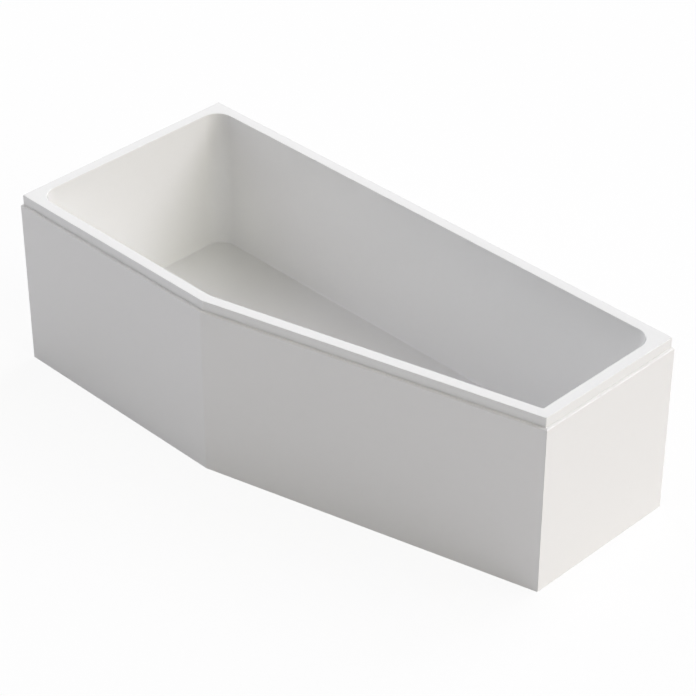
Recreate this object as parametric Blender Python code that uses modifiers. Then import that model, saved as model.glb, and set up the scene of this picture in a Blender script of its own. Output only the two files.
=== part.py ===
"""A space-saving bathtub: a five-sided acrylic tub with a bent front panel and an end panel.

Metres, +Z up. +X runs from the wide head end to the narrow foot end, +Y to the back wall.
The tub stands in a corner, so its back and its head end have no panel. The origin is on the
floor, under the middle of the whole tub with its panels.
"""
import math

import bmesh
import bpy
from mathutils import Matrix, Vector

# Fit between neighbouring pieces
SEAT_GAP = 0.0003
CUT_OVERRUN = 0.004
MERGE_DISTANCE = 0.00001

# Outline of the rim, seen from above
RIM_LENGTH = 1.600
HEAD_WIDTH = 0.690
FOOT_WIDTH = 0.455
STRAIGHT_RUN = 0.692
PANEL_PROUD = 0.009

# Section of the tub shell; WASTE_FLOOR is the basin floor's height over the ground, at the waste
RIM_HEIGHT = 0.512
RIM_BREADTH = 0.030
SKIRT_DEPTH = 0.028
SHELL_THICKNESS = 0.005
RIM_ROUND = 0.0015
WASTE_FLOOR = 0.102
WALL_DRAFT = 0.018
FLOOR_ROUND = 0.003
FLOOR_FALL = 0.008

# Corner radii in plan, from the head-front corner round to the head-back one
RIM_CORNER_RADIUS = 0.0015
HEAD_FRONT_RADIUS = 0.050
KINK_RADIUS = 0.040
FOOT_FRONT_RADIUS = 0.004
FOOT_BACK_RADIUS = 0.050
HEAD_BACK_RADIUS = 0.050

# Waste hole and the dish round it
WASTE_FROM_FOOT = 0.160
WASTE_HOLE_RADIUS = 0.0265
SEAT_RADIUS = 0.040
DISH_RADIUS = 0.060
DISH_DEPTH = 0.006

# Overflow hole in the foot wall
OVERFLOW_BELOW_RIM = 0.080
OVERFLOW_HOLE_RADIUS = 0.0265

# Floor board under the basin
BOARD_THICKNESS = 0.012
BOARD_MARGIN = 0.020
BOARD_SHORT_OF_WASTE = 0.080

# Timber battens under the rim
BATTEN_HEIGHT = 0.016
BATTEN_JOINT = 0.001

# Cross rails, folded steel in a hat section
RAIL_THICKNESS = 0.0025
RAIL_DEPTH = 0.030
RAIL_INNER_WIDTH = 0.036
RAIL_BRIM = 0.018
RAIL_FROM_OUTLINE = 0.095
HEAD_RAIL_FROM_HEAD = 0.280
FOOT_RAIL_BEFORE_WASTE = 0.180
LEVELLER_FROM_RAIL_END = 0.030

# Screws that hold the rails to the board
SCREW_RADIUS = 0.0022
SCREW_LENGTH = 0.010
SCREW_HEAD_RADIUS = 0.0045
SCREW_HEAD_HEIGHT = 0.0025
SCREW_FROM_RAIL_END = 0.060

# Levelling feet
STUD_RADIUS = 0.005
STUD_HOLE_CLEARANCE = 0.0010
STUD_PROUD = 0.003
PAD_RADIUS = 0.024
PAD_EDGE = 0.005
PAD_SHOULDER = 0.010
PAD_BOSS_RADIUS = 0.010
PAD_HEIGHT = 0.018
PAD_SOCKET_FLOOR = 0.006
NUT_RADIUS = 0.0096
NUT_HEIGHT = 0.008

# Panels
PANEL_THICKNESS = 0.004
PANEL_EDGE_ROUND = 0.0012
PANEL_RETURN = 0.026
HOOK_CLEARANCE = 0.0010
HOOK_THICKNESS = 0.003
HOOK_HEIGHT = 0.009
HOOK_SHORT_OF_WALL = 0.030
MITRE_GAP = 0.0006

# Clips that hold the panels, bent from strip
CLIP_THICKNESS = 0.002
CLIP_WIDTH = 0.024
CLIP_TONGUE = 0.008
CLIP_CLEARANCE = 0.0008
FLOOR_CLIP_GRIP = 0.012
FLOOR_CLIP_FOOT = 0.030

# Overflow set, on the foot wall's normal
OVERFLOW_GASKET_THICKNESS = 0.003
OVERFLOW_FACE_RADIUS = 0.035
OVERFLOW_FACE_THICKNESS = 0.004
THREAD_RADIUS = 0.0245
THREAD_WALL = 0.003
OVERFLOW_THREAD_LENGTH = 0.012
ELBOW_FLANGE_RADIUS = 0.037
ELBOW_FLANGE_THICKNESS = 0.004
ELBOW_RADIUS = 0.031
ELBOW_DEPTH = 0.024
ELBOW_WALL = 0.0025
ELBOW_SPIGOT_DROP = 0.058
KNOB_RADIUS = 0.036
KNOB_STAND_OFF = 0.003
KNOB_HEIGHT = 0.014
KNOB_WALL = 0.003
KNOB_EDGE_ROUND = 0.003
KNOB_SHAFT_RADIUS = 0.005
KNOB_SHAFT_REACH = 0.012
KNOB_SCALLOPS = 6
KNOB_SCALLOP_RADIUS = 0.012
KNOB_SCALLOP_DEPTH = 0.003
HUB_RADIUS = 0.009
SPOKES = 3
SPOKE_WIDTH = 0.004
SPOKE_DEPTH = 0.003

# Hose and cable from the overflow to the waste
SPIGOT_RADIUS = 0.0090
SPIGOT_BORE = 0.0070
HOSE_FIT = 0.0003
HOSE_RADIUS = 0.0125
HOSE_GROOVE = 0.0016
HOSE_GRIP = 0.018
HOSE_BEND_RADIUS = 0.055
HOSE_RIB_COUNT = 26
CABLE_RADIUS = 0.0025
CABLE_ASIDE = 0.022
CABLE_BOSS_RADIUS = 0.0045
CABLE_BEND_RADIUS = 0.050

# Waste set
GASKET_THICKNESS = 0.0015
UNDER_GASKET_THICKNESS = 0.0025
FLANGE_RADIUS = 0.036
FLANGE_THICKNESS = 0.0018
WASTE_THREAD_LENGTH = 0.014
BODY_FLANGE_RADIUS = 0.040
BODY_FLANGE_THICKNESS = 0.004
NECK_RADIUS = 0.030
NECK_LENGTH = 0.020
NECK_FLOOR = 0.003
WASTE_SPIGOT_REACH = 0.060
CABLE_BOSS_REACH = 0.040
PLUG_RADIUS = 0.0290
PLUG_THICKNESS = 0.0030
PLUG_CROWN = 0.0020
PLUG_SEAL_THICKNESS = 0.0016
PLUG_SEAL_INSET = 0.0015
PLUG_STEM_RADIUS = 0.0040
PLUG_GUIDE_CLEARANCE = 0.0003
PLUG_LIFT = 0.010

# Trap and outlet
TRAP_RADIUS = 0.018
TRAP_BORE = 0.0155
TAIL_LENGTH = 0.010
TRAP_TAIL_RUN = 0.0056
TRAP_BEND_RADIUS = 0.024
TRAP_RISE = 0.050
TRAP_OUTLET_BEND = 0.020
TRAP_OUTLET_REACH = 0.030
OUTLET_SHORT_OF_WALL = 0.020
UNION_NUT_WALL = 0.005
UNION_NUT_LENGTH = 0.012

# Where the clips stand, as shares of their side's length
FRONT_CLIP_SHARES = (0.20, 0.75)
SLANT_CLIP_SHARES = (0.55,)
END_CLIP_SHARES = (0.22,)

# How deep the elbow's spigot and boss are rooted, as shares of its wall and of its radius
SPIGOT_ROOT_SHARE = 0.25
BOSS_ROOT_SHARE = 0.5

# Fineness of round shapes
ROUND_SIDES = 32
SMALL_SIDES = 12
PIPE_SIDES = 12
HOSE_SIDES = 10
ROUND_STEPS = 3
CROWN_STEPS = 4
BEND_STEPS = 6
CORNER_STEPS = (6, 2, 3, 6, 6)

# Corners of the rim's outline, and the side that starts at each
HEAD_FRONT, KINK, FOOT_FRONT, FOOT_BACK, HEAD_BACK = range(5)
FRONT_SIDE, SLANT_SIDE, FOOT_SIDE, BACK_SIDE, HEAD_SIDE = range(5)

# Places that follow from the sizes
HEAD_X = -(RIM_LENGTH + PANEL_PROUD) / 2
FOOT_X = HEAD_X + RIM_LENGTH
BACK_Y = (HEAD_WIDTH + PANEL_PROUD) / 2
FRONT_Y = BACK_Y - HEAD_WIDTH
WASTE_X = FOOT_X - WASTE_FROM_FOOT
WASTE_Y = BACK_Y - FOOT_WIDTH / 2
SKIRT_BOTTOM = RIM_HEIGHT - SKIRT_DEPTH
RIM_UNDERSIDE = RIM_HEIGHT - SHELL_THICKNESS
BASIN_DEPTH = RIM_HEIGHT - WASTE_FLOOR
WALL_FOOT = RIM_BREADTH + WALL_DRAFT
FLOOR_EDGE = WALL_FOOT + FLOOR_ROUND
FLOOR_SLOPE = FLOOR_FALL / (RIM_LENGTH - WASTE_FROM_FOOT - FLOOR_EDGE)
SEAT_HEIGHT = WASTE_FLOOR - DISH_DEPTH
SEAT_UNDERSIDE = SEAT_HEIGHT - SHELL_THICKNESS
FLOOR_UNDERSIDE = WASTE_FLOOR - SHELL_THICKNESS
LEDGE_HEIGHT = SKIRT_BOTTOM - SEAT_GAP
HOOK_START = SHELL_THICKNESS + HOOK_CLEARANCE
HOOK_END = HOOK_START + HOOK_THICKNESS
BATTEN_START = HOOK_END + HOOK_CLEARANCE
BATTEN_END = RIM_BREADTH - SHELL_THICKNESS - SEAT_GAP
BATTEN_TOP = RIM_UNDERSIDE - SEAT_GAP
BATTEN_BOTTOM = BATTEN_TOP - BATTEN_HEIGHT
BASIN_RADII = (HEAD_FRONT_RADIUS, KINK_RADIUS, FOOT_FRONT_RADIUS, FOOT_BACK_RADIUS, HEAD_BACK_RADIUS)

# Heights below the floor's underside, in the frame that tilts with the floor
BOARD_TOP = -SEAT_GAP
RAIL_TOP = BOARD_TOP - BOARD_THICKNESS - SEAT_GAP
SCREW_HEAD_TOP = RAIL_TOP - RAIL_THICKNESS - SEAT_GAP
BOARD_HOLE_TOP = SCREW_HEAD_TOP + SCREW_LENGTH + SEAT_GAP

# Finish of each kind of piece: colour, roughness, metallic
FINISHES = {
    "white_acrylic": ((0.82, 0.82, 0.81), 0.22, 0.0),
    "chipboard": ((0.52, 0.38, 0.22), 0.80, 0.0),
    "softwood": ((0.62, 0.46, 0.28), 0.75, 0.0),
    "zinc_plate": ((0.60, 0.61, 0.62), 0.38, 0.9),
    "dark_plastic": ((0.04, 0.04, 0.045), 0.50, 0.0),
    "white_plastic": ((0.76, 0.76, 0.74), 0.42, 0.0),
    "chrome_plate": ((0.78, 0.79, 0.80), 0.10, 1.0),
    "black_rubber": ((0.03, 0.03, 0.03), 0.80, 0.0),
}


# Scene and objects

def clear_scene():
    for item in list(bpy.data.objects):
        bpy.data.objects.remove(item, do_unlink=True)


def new_collection(name):
    collection = bpy.data.collections.new(name)
    bpy.context.scene.collection.children.link(collection)
    return collection


def finish_material(name, finish):
    """A Principled material for one piece, in the finish of its kind."""
    colour, roughness, metallic = FINISHES[finish]
    material = bpy.data.materials.new(name + "_" + finish)
    material.use_nodes = True
    shader = material.node_tree.nodes["Principled BSDF"]
    shader.inputs["Base Color"].default_value = (*colour, 1.0)
    shader.inputs["Roughness"].default_value = roughness
    shader.inputs["Metallic"].default_value = metallic
    return material


def add_piece(name, mesh, finish, parent=None):
    """An object of the tub, in the frame of its parent if it has one."""
    mesh.materials.clear()
    mesh.materials.append(finish_material(name, finish))
    piece = bpy.data.objects.new(name, mesh)
    TUB.objects.link(piece)
    piece.parent = parent
    return piece


def add_cutter(name, mesh, parent=None):
    cutter = bpy.data.objects.new(name, mesh)
    CUTTERS.objects.link(cutter)
    cutter.parent = parent
    cutter.hide_render = True
    cutter.display_type = "WIRE"
    return cutter


def add_frame(name, matrix):
    """An empty that carries pieces built about their own axis."""
    frame = bpy.data.objects.new(name, None)
    TUB.objects.link(frame)
    frame.matrix_world = matrix
    return frame


def boolean(target, cutter, operation):
    modifier = target.modifiers.new(cutter.name, "BOOLEAN")
    modifier.operation = operation
    modifier.object = cutter


# Shapes

def mesh_from(shape, name):
    """Close a bmesh into a mesh whose faces point out."""
    bmesh.ops.recalc_face_normals(shape, faces=shape.faces)
    mesh = bpy.data.meshes.new(name)
    shape.to_mesh(mesh)
    shape.free()
    return mesh


def join_rings(shape, lower, upper):
    """A band of four-sided faces between two rings of vertices."""
    for index in range(len(lower)):
        after = (index + 1) % len(lower)
        shape.faces.new((lower[index], lower[after], upper[after], upper[index]))


def loft(name, rings, closed=False):
    """A solid through rings of points; a closed loft joins its last ring to its first."""
    shape = bmesh.new()
    loops = [[shape.verts.new(point) for point in ring] for ring in rings]
    for lower, upper in zip(loops, loops[1:]):
        join_rings(shape, lower, upper)
    if closed:
        join_rings(shape, loops[-1], loops[0])
    else:
        shape.faces.new(reversed(loops[0]))
        shape.faces.new(loops[-1])
    return mesh_from(shape, name)


def turned(name, profile, finish, parent, sides=ROUND_SIDES, ring=False):
    """A solid of revolution about Z; the profile of (radius, height) runs down its outer side."""
    count = len(profile)
    edges = [(index, index + 1) for index in range(count - 1)]
    if ring:
        edges.append((count - 1, 0))
    mesh = bpy.data.meshes.new(name)
    mesh.from_pydata([(radius, 0, height) for radius, height in profile], edges, [])
    piece = add_piece(name, mesh, finish, parent)
    turn = piece.modifiers.new("turn", "SCREW")
    turn.steps = sides
    turn.render_steps = sides
    turn.use_merge_vertices = True
    turn.merge_threshold = MERGE_DISTANCE
    return piece


def flat_ring(outer, inner, top, bottom):
    """The profile of a ring with a rectangular section."""
    return [(outer, top), (outer, bottom), (inner, bottom), (inner, top)]


def arc_points(centre, radius, start, stop, steps):
    """Points on an arc in a section, from one angle in degrees to another."""
    points = []
    for step in range(steps + 1):
        angle = math.radians(start + (stop - start) * step / steps)
        across = centre[0] + radius * math.cos(angle)
        points.append((across, centre[1] + radius * math.sin(angle)))
    return points


def cylinders(name, rods):
    """A mesh of upright round rods, each (x, y, bottom, top, radius, sides)."""
    shape = bmesh.new()
    for x, y, bottom, top, radius, sides in rods:
        place = Matrix.Translation((x, y, (bottom + top) / 2))
        bmesh.ops.create_cone(shape, cap_ends=True, segments=sides, radius1=radius,
                              radius2=radius, depth=top - bottom, matrix=place)
    return mesh_from(shape, name)


def rod_between(name, start, end, radius, sides=ROUND_SIDES):
    """A mesh of one round rod from a start point to an end point."""
    axis = Vector(end) - Vector(start)
    turn = axis.to_track_quat("Z", "Y").to_matrix().to_4x4()
    place = Matrix.Translation((Vector(start) + Vector(end)) / 2) @ turn
    shape = bmesh.new()
    bmesh.ops.create_cone(shape, cap_ends=True, segments=sides, radius1=radius,
                          radius2=radius, depth=axis.length, matrix=place)
    return mesh_from(shape, name)


def rounded_path(corners, radii, steps=BEND_STEPS):
    """A path along straight runs whose corners are arcs, with no point twice."""
    path = [Vector(corners[0])]
    for before, corner, after, radius in zip(corners, corners[1:], corners[2:], radii):
        corner = Vector(corner)
        back = (Vector(before) - corner).normalized()
        ahead = (Vector(after) - corner).normalized()
        half = back.angle(ahead) / 2
        centre = corner + (back + ahead).normalized() * (radius / math.sin(half))
        first = corner + back * (radius / math.tan(half)) - centre
        last = corner + ahead * (radius / math.tan(half)) - centre
        for step in range(steps + 1):
            turn = Matrix.Rotation(first.angle(last) * step / steps, 3, first.cross(last))
            path.append(centre + turn @ first)
    path.append(Vector(corners[-1]))
    return [point for point, next_point in zip(path, path[1:])
            if (next_point - point).length > MERGE_DISTANCE] + [path[-1]]


def path_tangents(path):
    ends = [path[0]] + path + [path[-1]]
    return [(after - before).normalized() for before, after in zip(ends, ends[2:])]


def point_along(path, distance):
    """The point at a distance along a path, and the path's direction there."""
    tangents = path_tangents(path)
    for index in range(len(path) - 1):
        run = (path[index + 1] - path[index]).length
        if distance <= run or index == len(path) - 2:
            share = min(distance / run, 1)
            direction = tangents[index].lerp(tangents[index + 1], share).normalized()
            return path[index].lerp(path[index + 1], share), direction
        distance -= run


def path_length(path):
    return sum((after - before).length for before, after in zip(path, path[1:]))


def ring_about(point, direction, side, radius, sides):
    """A round ring square to a direction; side is a unit vector that the path never follows."""
    up = direction.cross(side).normalized()
    ring = []
    for step in range(sides):
        angle = math.tau * step / sides
        ring.append(point + side * (radius * math.cos(angle)) + up * (radius * math.sin(angle)))
    return ring


def pipe(name, path, side, outer_radii, bore, sides):
    """A pipe along a path in one plane: rings out along its outside and back along its bore.

    The flats of the bore, not its corners, lie at the bore's radius.
    """
    tangents = path_tangents(path)
    bore_corner = bore / math.cos(math.pi / sides)
    stations = list(zip(path, tangents, outer_radii))
    outside = [ring_about(point, direction, side, radius, sides)
               for point, direction, radius in stations]
    inside = [ring_about(point, direction, side, bore_corner, sides)
              for point, direction, radius in reversed(stations)]
    return loft(name, outside + inside, closed=True)


# Outline of the rim

def rim_corner(index):
    slant_y = BACK_Y - FOOT_WIDTH
    corners = ((HEAD_X, FRONT_Y), (HEAD_X + STRAIGHT_RUN, FRONT_Y), (FOOT_X, slant_y),
               (FOOT_X, BACK_Y), (HEAD_X, BACK_Y))
    return Vector(corners[index % len(corners)])


def side_direction(index):
    return (rim_corner(index + 1) - rim_corner(index)).normalized()


def side_inward(index):
    """The unit vector that points from a side into the tub."""
    direction = side_direction(index)
    return Vector((-direction.y, direction.x))


def inset_corner(index, inset):
    """A corner of the outline after both of its sides move in by the inset."""
    before = side_inward(index - 1)
    after = side_inward(index)
    return rim_corner(index) + (before + after) * (inset / (1 + before.dot(after)))


def side_point(index, along, inset, height):
    """A point beside a side: along it from its first corner, and inward from it."""
    place = rim_corner(index) + side_direction(index) * along + side_inward(index) * inset
    return Vector((place.x, place.y, height))


def side_length(index):
    return (rim_corner(index + 1) - rim_corner(index)).length


def front_line_y(x, inset):
    """The front outline's y at a place along the tub, after it moves in by the inset."""
    kink = inset_corner(KINK, inset)
    if x <= kink.x:
        return kink.y
    direction = side_direction(SLANT_SIDE)
    return kink.y + (x - kink.x) * direction.y / direction.x


def floor_rise(x):
    """How far the basin floor lies above its height at the waste."""
    return (WASTE_X - x) * FLOOR_SLOPE


def outline_ring(inset, radii, height, sloped=False):
    """The outline moved in by an inset, with rounded corners; a sloped ring follows the floor."""
    ring = []
    for index, radius in enumerate(radii):
        centre = inset_corner(index, inset + radius)
        before = -side_inward(index - 1)
        after = -side_inward(index)
        turn = math.atan2(before.cross(after), before.dot(after))
        for step in range(CORNER_STEPS[index] + 1):
            angle = math.atan2(before.y, before.x) + turn * step / CORNER_STEPS[index]
            x = centre.x + radius * math.cos(angle)
            y = centre.y + radius * math.sin(angle)
            ring.append(Vector((x, y, height + (floor_rise(x) if sloped else 0))))
    return ring


# Tub shell

def grown(radii, extra):
    return [radius + extra for radius in radii]


def visible_rings():
    """Rings up the skirt, over the rim and down the basin wall to the floor's edge."""
    rim_radii = [RIM_CORNER_RADIUS] * len(BASIN_RADII)
    rings = [outline_ring(0, rim_radii, SKIRT_BOTTOM)]
    rim_centre = RIM_HEIGHT - RIM_ROUND
    for inset, height in arc_points((RIM_ROUND, rim_centre), RIM_ROUND, 180, 90, ROUND_STEPS):
        rings.append(outline_ring(inset, rim_radii, height))
    lip = RIM_BREADTH - RIM_ROUND
    for inset, height in arc_points((lip, rim_centre), RIM_ROUND, 90, 0, ROUND_STEPS):
        rings.append(outline_ring(inset, grown(BASIN_RADII, RIM_BREADTH - inset), height))
    foot_centre = (FLOOR_EDGE, WASTE_FLOOR + FLOOR_ROUND)
    for inset, height in arc_points(foot_centre, FLOOR_ROUND, 180, 270, ROUND_STEPS):
        rings.append(outline_ring(inset, BASIN_RADII, height, sloped=True))
    return rings


def hidden_rings():
    """Rings from the floor's underside up the wall's outer face, under the rim and down the skirt."""
    rings = []
    foot_centre = (FLOOR_EDGE, WASTE_FLOOR + FLOOR_ROUND)
    outer_round = FLOOR_ROUND + SHELL_THICKNESS
    for inset, height in arc_points(foot_centre, outer_round, 270, 180, ROUND_STEPS):
        rings.append(outline_ring(inset, grown(BASIN_RADII, SHELL_THICKNESS), height, sloped=True))
    wall_radii = grown(BASIN_RADII, SHELL_THICKNESS)
    rings.append(outline_ring(RIM_BREADTH - SHELL_THICKNESS, wall_radii, RIM_UNDERSIDE))
    skirt_radii = [RIM_CORNER_RADIUS] * len(BASIN_RADII)
    rings.append(outline_ring(SHELL_THICKNESS, skirt_radii, RIM_UNDERSIDE))
    rings.append(outline_ring(SHELL_THICKNESS, skirt_radii, SKIRT_BOTTOM))
    return rings


def waste_rings():
    """Round rings from the dish's edge down to the waste hole and back under it."""
    rings = []
    levels = ((DISH_RADIUS, WASTE_FLOOR, True), (SEAT_RADIUS, SEAT_HEIGHT, False),
              (WASTE_HOLE_RADIUS, SEAT_HEIGHT, False), (WASTE_HOLE_RADIUS, SEAT_UNDERSIDE, False),
              (SEAT_RADIUS, SEAT_UNDERSIDE, False),
              (DISH_RADIUS, WASTE_FLOOR - SHELL_THICKNESS, True))
    for radius, height, sloped in levels:
        ring = []
        for step in range(ROUND_SIDES):
            angle = math.tau * step / ROUND_SIDES
            x = WASTE_X + radius * math.cos(angle)
            y = WASTE_Y + radius * math.sin(angle)
            ring.append(Vector((x, y, height + (floor_rise(x) if sloped else 0))))
        rings.append(ring)
    return rings


def fill_between(shape, outer, inner):
    """Flat triangles between an outer ring and a ring inside it."""
    edges = []
    for loop in (outer, inner):
        for index, vertex in enumerate(loop):
            edges.append(shape.edges.get((vertex, loop[(index + 1) % len(loop)])))
    bmesh.ops.triangle_fill(shape, use_beauty=True, edges=edges, normal=(0, 0, 1))


def make_tub_shell():
    """The moulding: a visible face and a hidden face a shell's thickness behind it."""
    shape = bmesh.new()
    seen, hidden, waste = ([[shape.verts.new(point) for point in ring] for ring in rings]
                           for rings in (visible_rings(), hidden_rings(), waste_rings()))
    for loops in (seen, hidden, waste):
        for lower, upper in zip(loops, loops[1:]):
            join_rings(shape, lower, upper)
    join_rings(shape, hidden[-1], seen[0])
    fill_between(shape, seen[-1], waste[0])
    fill_between(shape, hidden[0], waste[-1])
    shell = add_piece("tub_shell", mesh_from(shape, "tub_shell"), "white_acrylic")
    hole = cylinders("overflow_hole", [(0, 0, -SHELL_THICKNESS - CUT_OVERRUN, CUT_OVERRUN,
                                        OVERFLOW_HOLE_RADIUS, ROUND_SIDES)])
    boolean(shell, add_cutter("overflow_hole", hole, OVERFLOW_FRAME), "DIFFERENCE")


# Board, battens and rails

def make_floor_board():
    """A board under the basin floor that stops short of the waste."""
    inset = FLOOR_EDGE + BOARD_MARGIN
    end_x = WASTE_X - BOARD_SHORT_OF_WASTE
    back_y = BACK_Y - inset
    outline = [inset_corner(HEAD_FRONT, inset), inset_corner(KINK, inset),
               Vector((end_x, front_line_y(end_x, inset))), Vector((end_x, back_y)),
               inset_corner(HEAD_BACK, inset)]
    bottom = BOARD_TOP - BOARD_THICKNESS
    rings = [[Vector((point.x - WASTE_X, point.y - WASTE_Y, height)) for point in outline]
             for height in (bottom, BOARD_TOP)]
    board = add_piece("floor_board", loft("floor_board", rings), "chipboard", FLOOR_FRAME)
    holes = [(x, y, bottom - CUT_OVERRUN, BOARD_HOLE_TOP, SCREW_RADIUS + SEAT_GAP, SMALL_SIDES)
             for x, y in rail_screw_places()]
    cutter = add_cutter("board_holes", cylinders("board_holes", holes), FLOOR_FRAME)
    boolean(board, cutter, "DIFFERENCE")


def make_batten(name, side):
    """A timber strip bonded under one side of the rim, mitred at both ends."""
    section = [(BATTEN_START, BATTEN_BOTTOM), (BATTEN_START, BATTEN_TOP),
               (BATTEN_END, BATTEN_TOP), (BATTEN_END, BATTEN_BOTTOM)]
    rings = mitred_rings(side, section, BATTEN_JOINT / 2, BATTEN_JOINT / 2)
    add_piece(name, loft(name, rings), "softwood")


def mitred_rings(side, section, start_gap, end_gap):
    """A section of (inset, height) at both corners of a side, each end moved in by half a gap."""
    direction = side_direction(side)
    starts = [inset_corner(side, inset) + direction * start_gap for inset, height in section]
    ends = [inset_corner(side + 1, inset) - direction * end_gap for inset, height in section]
    return [[Vector((place.x, place.y, height)) for place, (inset, height) in zip(places, section)]
            for places in (starts, ends)]


def rail_x(rail):
    """A rail's place along the tub, measured from the waste."""
    if rail == "head":
        return HEAD_X + HEAD_RAIL_FROM_HEAD - WASTE_X
    return -FOOT_RAIL_BEFORE_WASTE


def rail_span(rail):
    """Both ends of a rail across the tub, measured from the waste."""
    half_width = RAIL_INNER_WIDTH / 2 + RAIL_BRIM
    front = front_line_y(WASTE_X + rail_x(rail) + half_width, RAIL_FROM_OUTLINE)
    return front - WASTE_Y, BACK_Y - RAIL_FROM_OUTLINE - WASTE_Y


def leveller_places(rail):
    front, back = rail_span(rail)
    return {"front": front + LEVELLER_FROM_RAIL_END, "back": back - LEVELLER_FROM_RAIL_END}


def rail_screw_places():
    """Every rail screw as (x, y) from the waste: two to a rail, on opposite brims."""
    places = []
    brim_middle = (RAIL_INNER_WIDTH + RAIL_BRIM) / 2
    for rail in ("head", "foot"):
        front, back = rail_span(rail)
        places.append((rail_x(rail) - brim_middle, front + SCREW_FROM_RAIL_END))
        places.append((rail_x(rail) + brim_middle, back - SCREW_FROM_RAIL_END))
    return places


def hat_section():
    """The hat section as (across, height): brims on top and the crown hanging down."""
    inner = RAIL_INNER_WIDTH / 2
    outer = inner - RAIL_THICKNESS
    brim = inner + RAIL_BRIM
    fold = RAIL_TOP - RAIL_THICKNESS
    bottom = RAIL_TOP - RAIL_DEPTH
    right = [(inner, bottom), (inner, fold), (brim, fold), (brim, RAIL_TOP), (outer, RAIL_TOP),
             (outer, bottom + RAIL_THICKNESS)]
    return right + [(-across, height) for across, height in reversed(right)]


def make_rail(rail):
    """A cross rail in a hat section, with holes for its two studs and two screws."""
    name = rail + "_rail"
    rings = [[Vector((rail_x(rail) + across, y, height)) for across, height in hat_section()]
             for y in rail_span(rail)]
    piece = add_piece(name, loft(name, rings), "zinc_plate", FLOOR_FRAME)
    crown = RAIL_TOP - RAIL_DEPTH
    holes = [(rail_x(rail), y, crown - CUT_OVERRUN, crown + RAIL_THICKNESS + CUT_OVERRUN,
              STUD_RADIUS + STUD_HOLE_CLEARANCE, SMALL_SIDES)
             for y in leveller_places(rail).values()]
    holes += [(x, y, RAIL_TOP - RAIL_THICKNESS - CUT_OVERRUN, RAIL_TOP + CUT_OVERRUN,
               SCREW_RADIUS + SEAT_GAP, SMALL_SIDES) for x, y in rail_screw_places()
              if abs(x - rail_x(rail)) < RAIL_INNER_WIDTH]
    cutter = add_cutter(name + "_holes", cylinders(name + "_holes", holes), FLOOR_FRAME)
    boolean(piece, cutter, "DIFFERENCE")


def make_rail_screw(number, x, y):
    """A pan-head screw, driven up through the rail's brim into the board."""
    tip = SCREW_HEAD_TOP + SCREW_LENGTH
    head_bottom = SCREW_HEAD_TOP - SCREW_HEAD_HEIGHT
    profile = [(0, tip), (SCREW_RADIUS, tip), (SCREW_RADIUS, SCREW_HEAD_TOP),
               (SCREW_HEAD_RADIUS, SCREW_HEAD_TOP), (SCREW_HEAD_RADIUS, head_bottom),
               (0, head_bottom)]
    name = "rail_screw_" + str(number)
    screw = turned(name, profile, "zinc_plate", FLOOR_FRAME, SMALL_SIDES)
    screw.location = (x, y, 0)


# Levelling feet

def hexagon_ring(radius, height):
    """Twelve points round a hexagon: its corners and the middles of its sides."""
    ring = []
    for step in range(SMALL_SIDES):
        angle = math.tau * step / SMALL_SIDES
        reach = radius if step % 2 == 0 else radius * math.cos(math.tau / SMALL_SIDES)
        ring.append(Vector((reach * math.cos(angle), reach * math.sin(angle), height)))
    return ring


def nut_mesh(name, radius, bore, height):
    """A hexagon nut that stands on z = 0; the flats of its bore lie at the bore's radius."""
    across = Vector((1, 0, 0))
    corner = bore / math.cos(math.pi / SMALL_SIDES)
    bores = [ring_about(Vector((0, 0, level)), Vector((0, 0, 1)), across, corner, SMALL_SIDES)
             for level in (height, 0)]
    return loft(name, [hexagon_ring(radius, 0), hexagon_ring(radius, height)] + bores, closed=True)


def crown_height(x):
    """The world height of a rail's lower face, x being measured from the waste."""
    return FLOOR_UNDERSIDE + RAIL_TOP - RAIL_DEPTH - x * FLOOR_SLOPE


def make_leveller(rail, end, y):
    """A levelling foot: pad and stud that move together, and two nuts that hold the rail."""
    place = "_" + rail + "_" + end
    x = rail_x(rail)
    crown = crown_height(x)
    axis = Vector((WASTE_X + x, WASTE_Y + y, 0))
    socket = STUD_RADIUS + SEAT_GAP
    profile = [(0, PAD_SOCKET_FLOOR), (socket, PAD_SOCKET_FLOOR), (socket, PAD_HEIGHT),
               (PAD_BOSS_RADIUS, PAD_HEIGHT), (PAD_BOSS_RADIUS, PAD_SHOULDER),
               (PAD_RADIUS, PAD_EDGE), (PAD_RADIUS, 0), (0, 0)]
    pad = turned("leveller_pad" + place, profile, "dark_plastic", None, SMALL_SIDES * 2)
    pad.location = axis
    upper_nut = crown + RAIL_THICKNESS + SEAT_GAP
    stud_top = upper_nut + NUT_HEIGHT + STUD_PROUD
    stud_mesh = cylinders("leveller_stud" + place, [(0, 0, PAD_SOCKET_FLOOR + SEAT_GAP, stud_top,
                                                     STUD_RADIUS, SMALL_SIDES)])
    stud = add_piece("leveller_stud" + place, stud_mesh, "zinc_plate")
    stud.location = axis
    for name, height in (("leveller_nut", crown - SEAT_GAP - NUT_HEIGHT),
                         ("leveller_locknut", upper_nut)):
        mesh = nut_mesh(name + place, NUT_RADIUS, STUD_RADIUS + SEAT_GAP, NUT_HEIGHT)
        nut = add_piece(name + place, mesh, "zinc_plate")
        nut.location = axis + Vector((0, 0, height))


# Panels and their clips

def panel_section():
    """A panel's section as (inset, height): bottom flange, face, top ledge and hook."""
    face = -PANEL_PROUD
    back = face + PANEL_THICKNESS
    flange = face + PANEL_RETURN
    return [(face, 0), (face, LEDGE_HEIGHT), (HOOK_START, LEDGE_HEIGHT),
            (HOOK_START, LEDGE_HEIGHT + HOOK_HEIGHT), (HOOK_END, LEDGE_HEIGHT + HOOK_HEIGHT),
            (HOOK_END, LEDGE_HEIGHT - PANEL_THICKNESS), (back, LEDGE_HEIGHT - PANEL_THICKNESS),
            (back, PANEL_THICKNESS), (flange, PANEL_THICKNESS), (flange, 0)]


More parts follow.
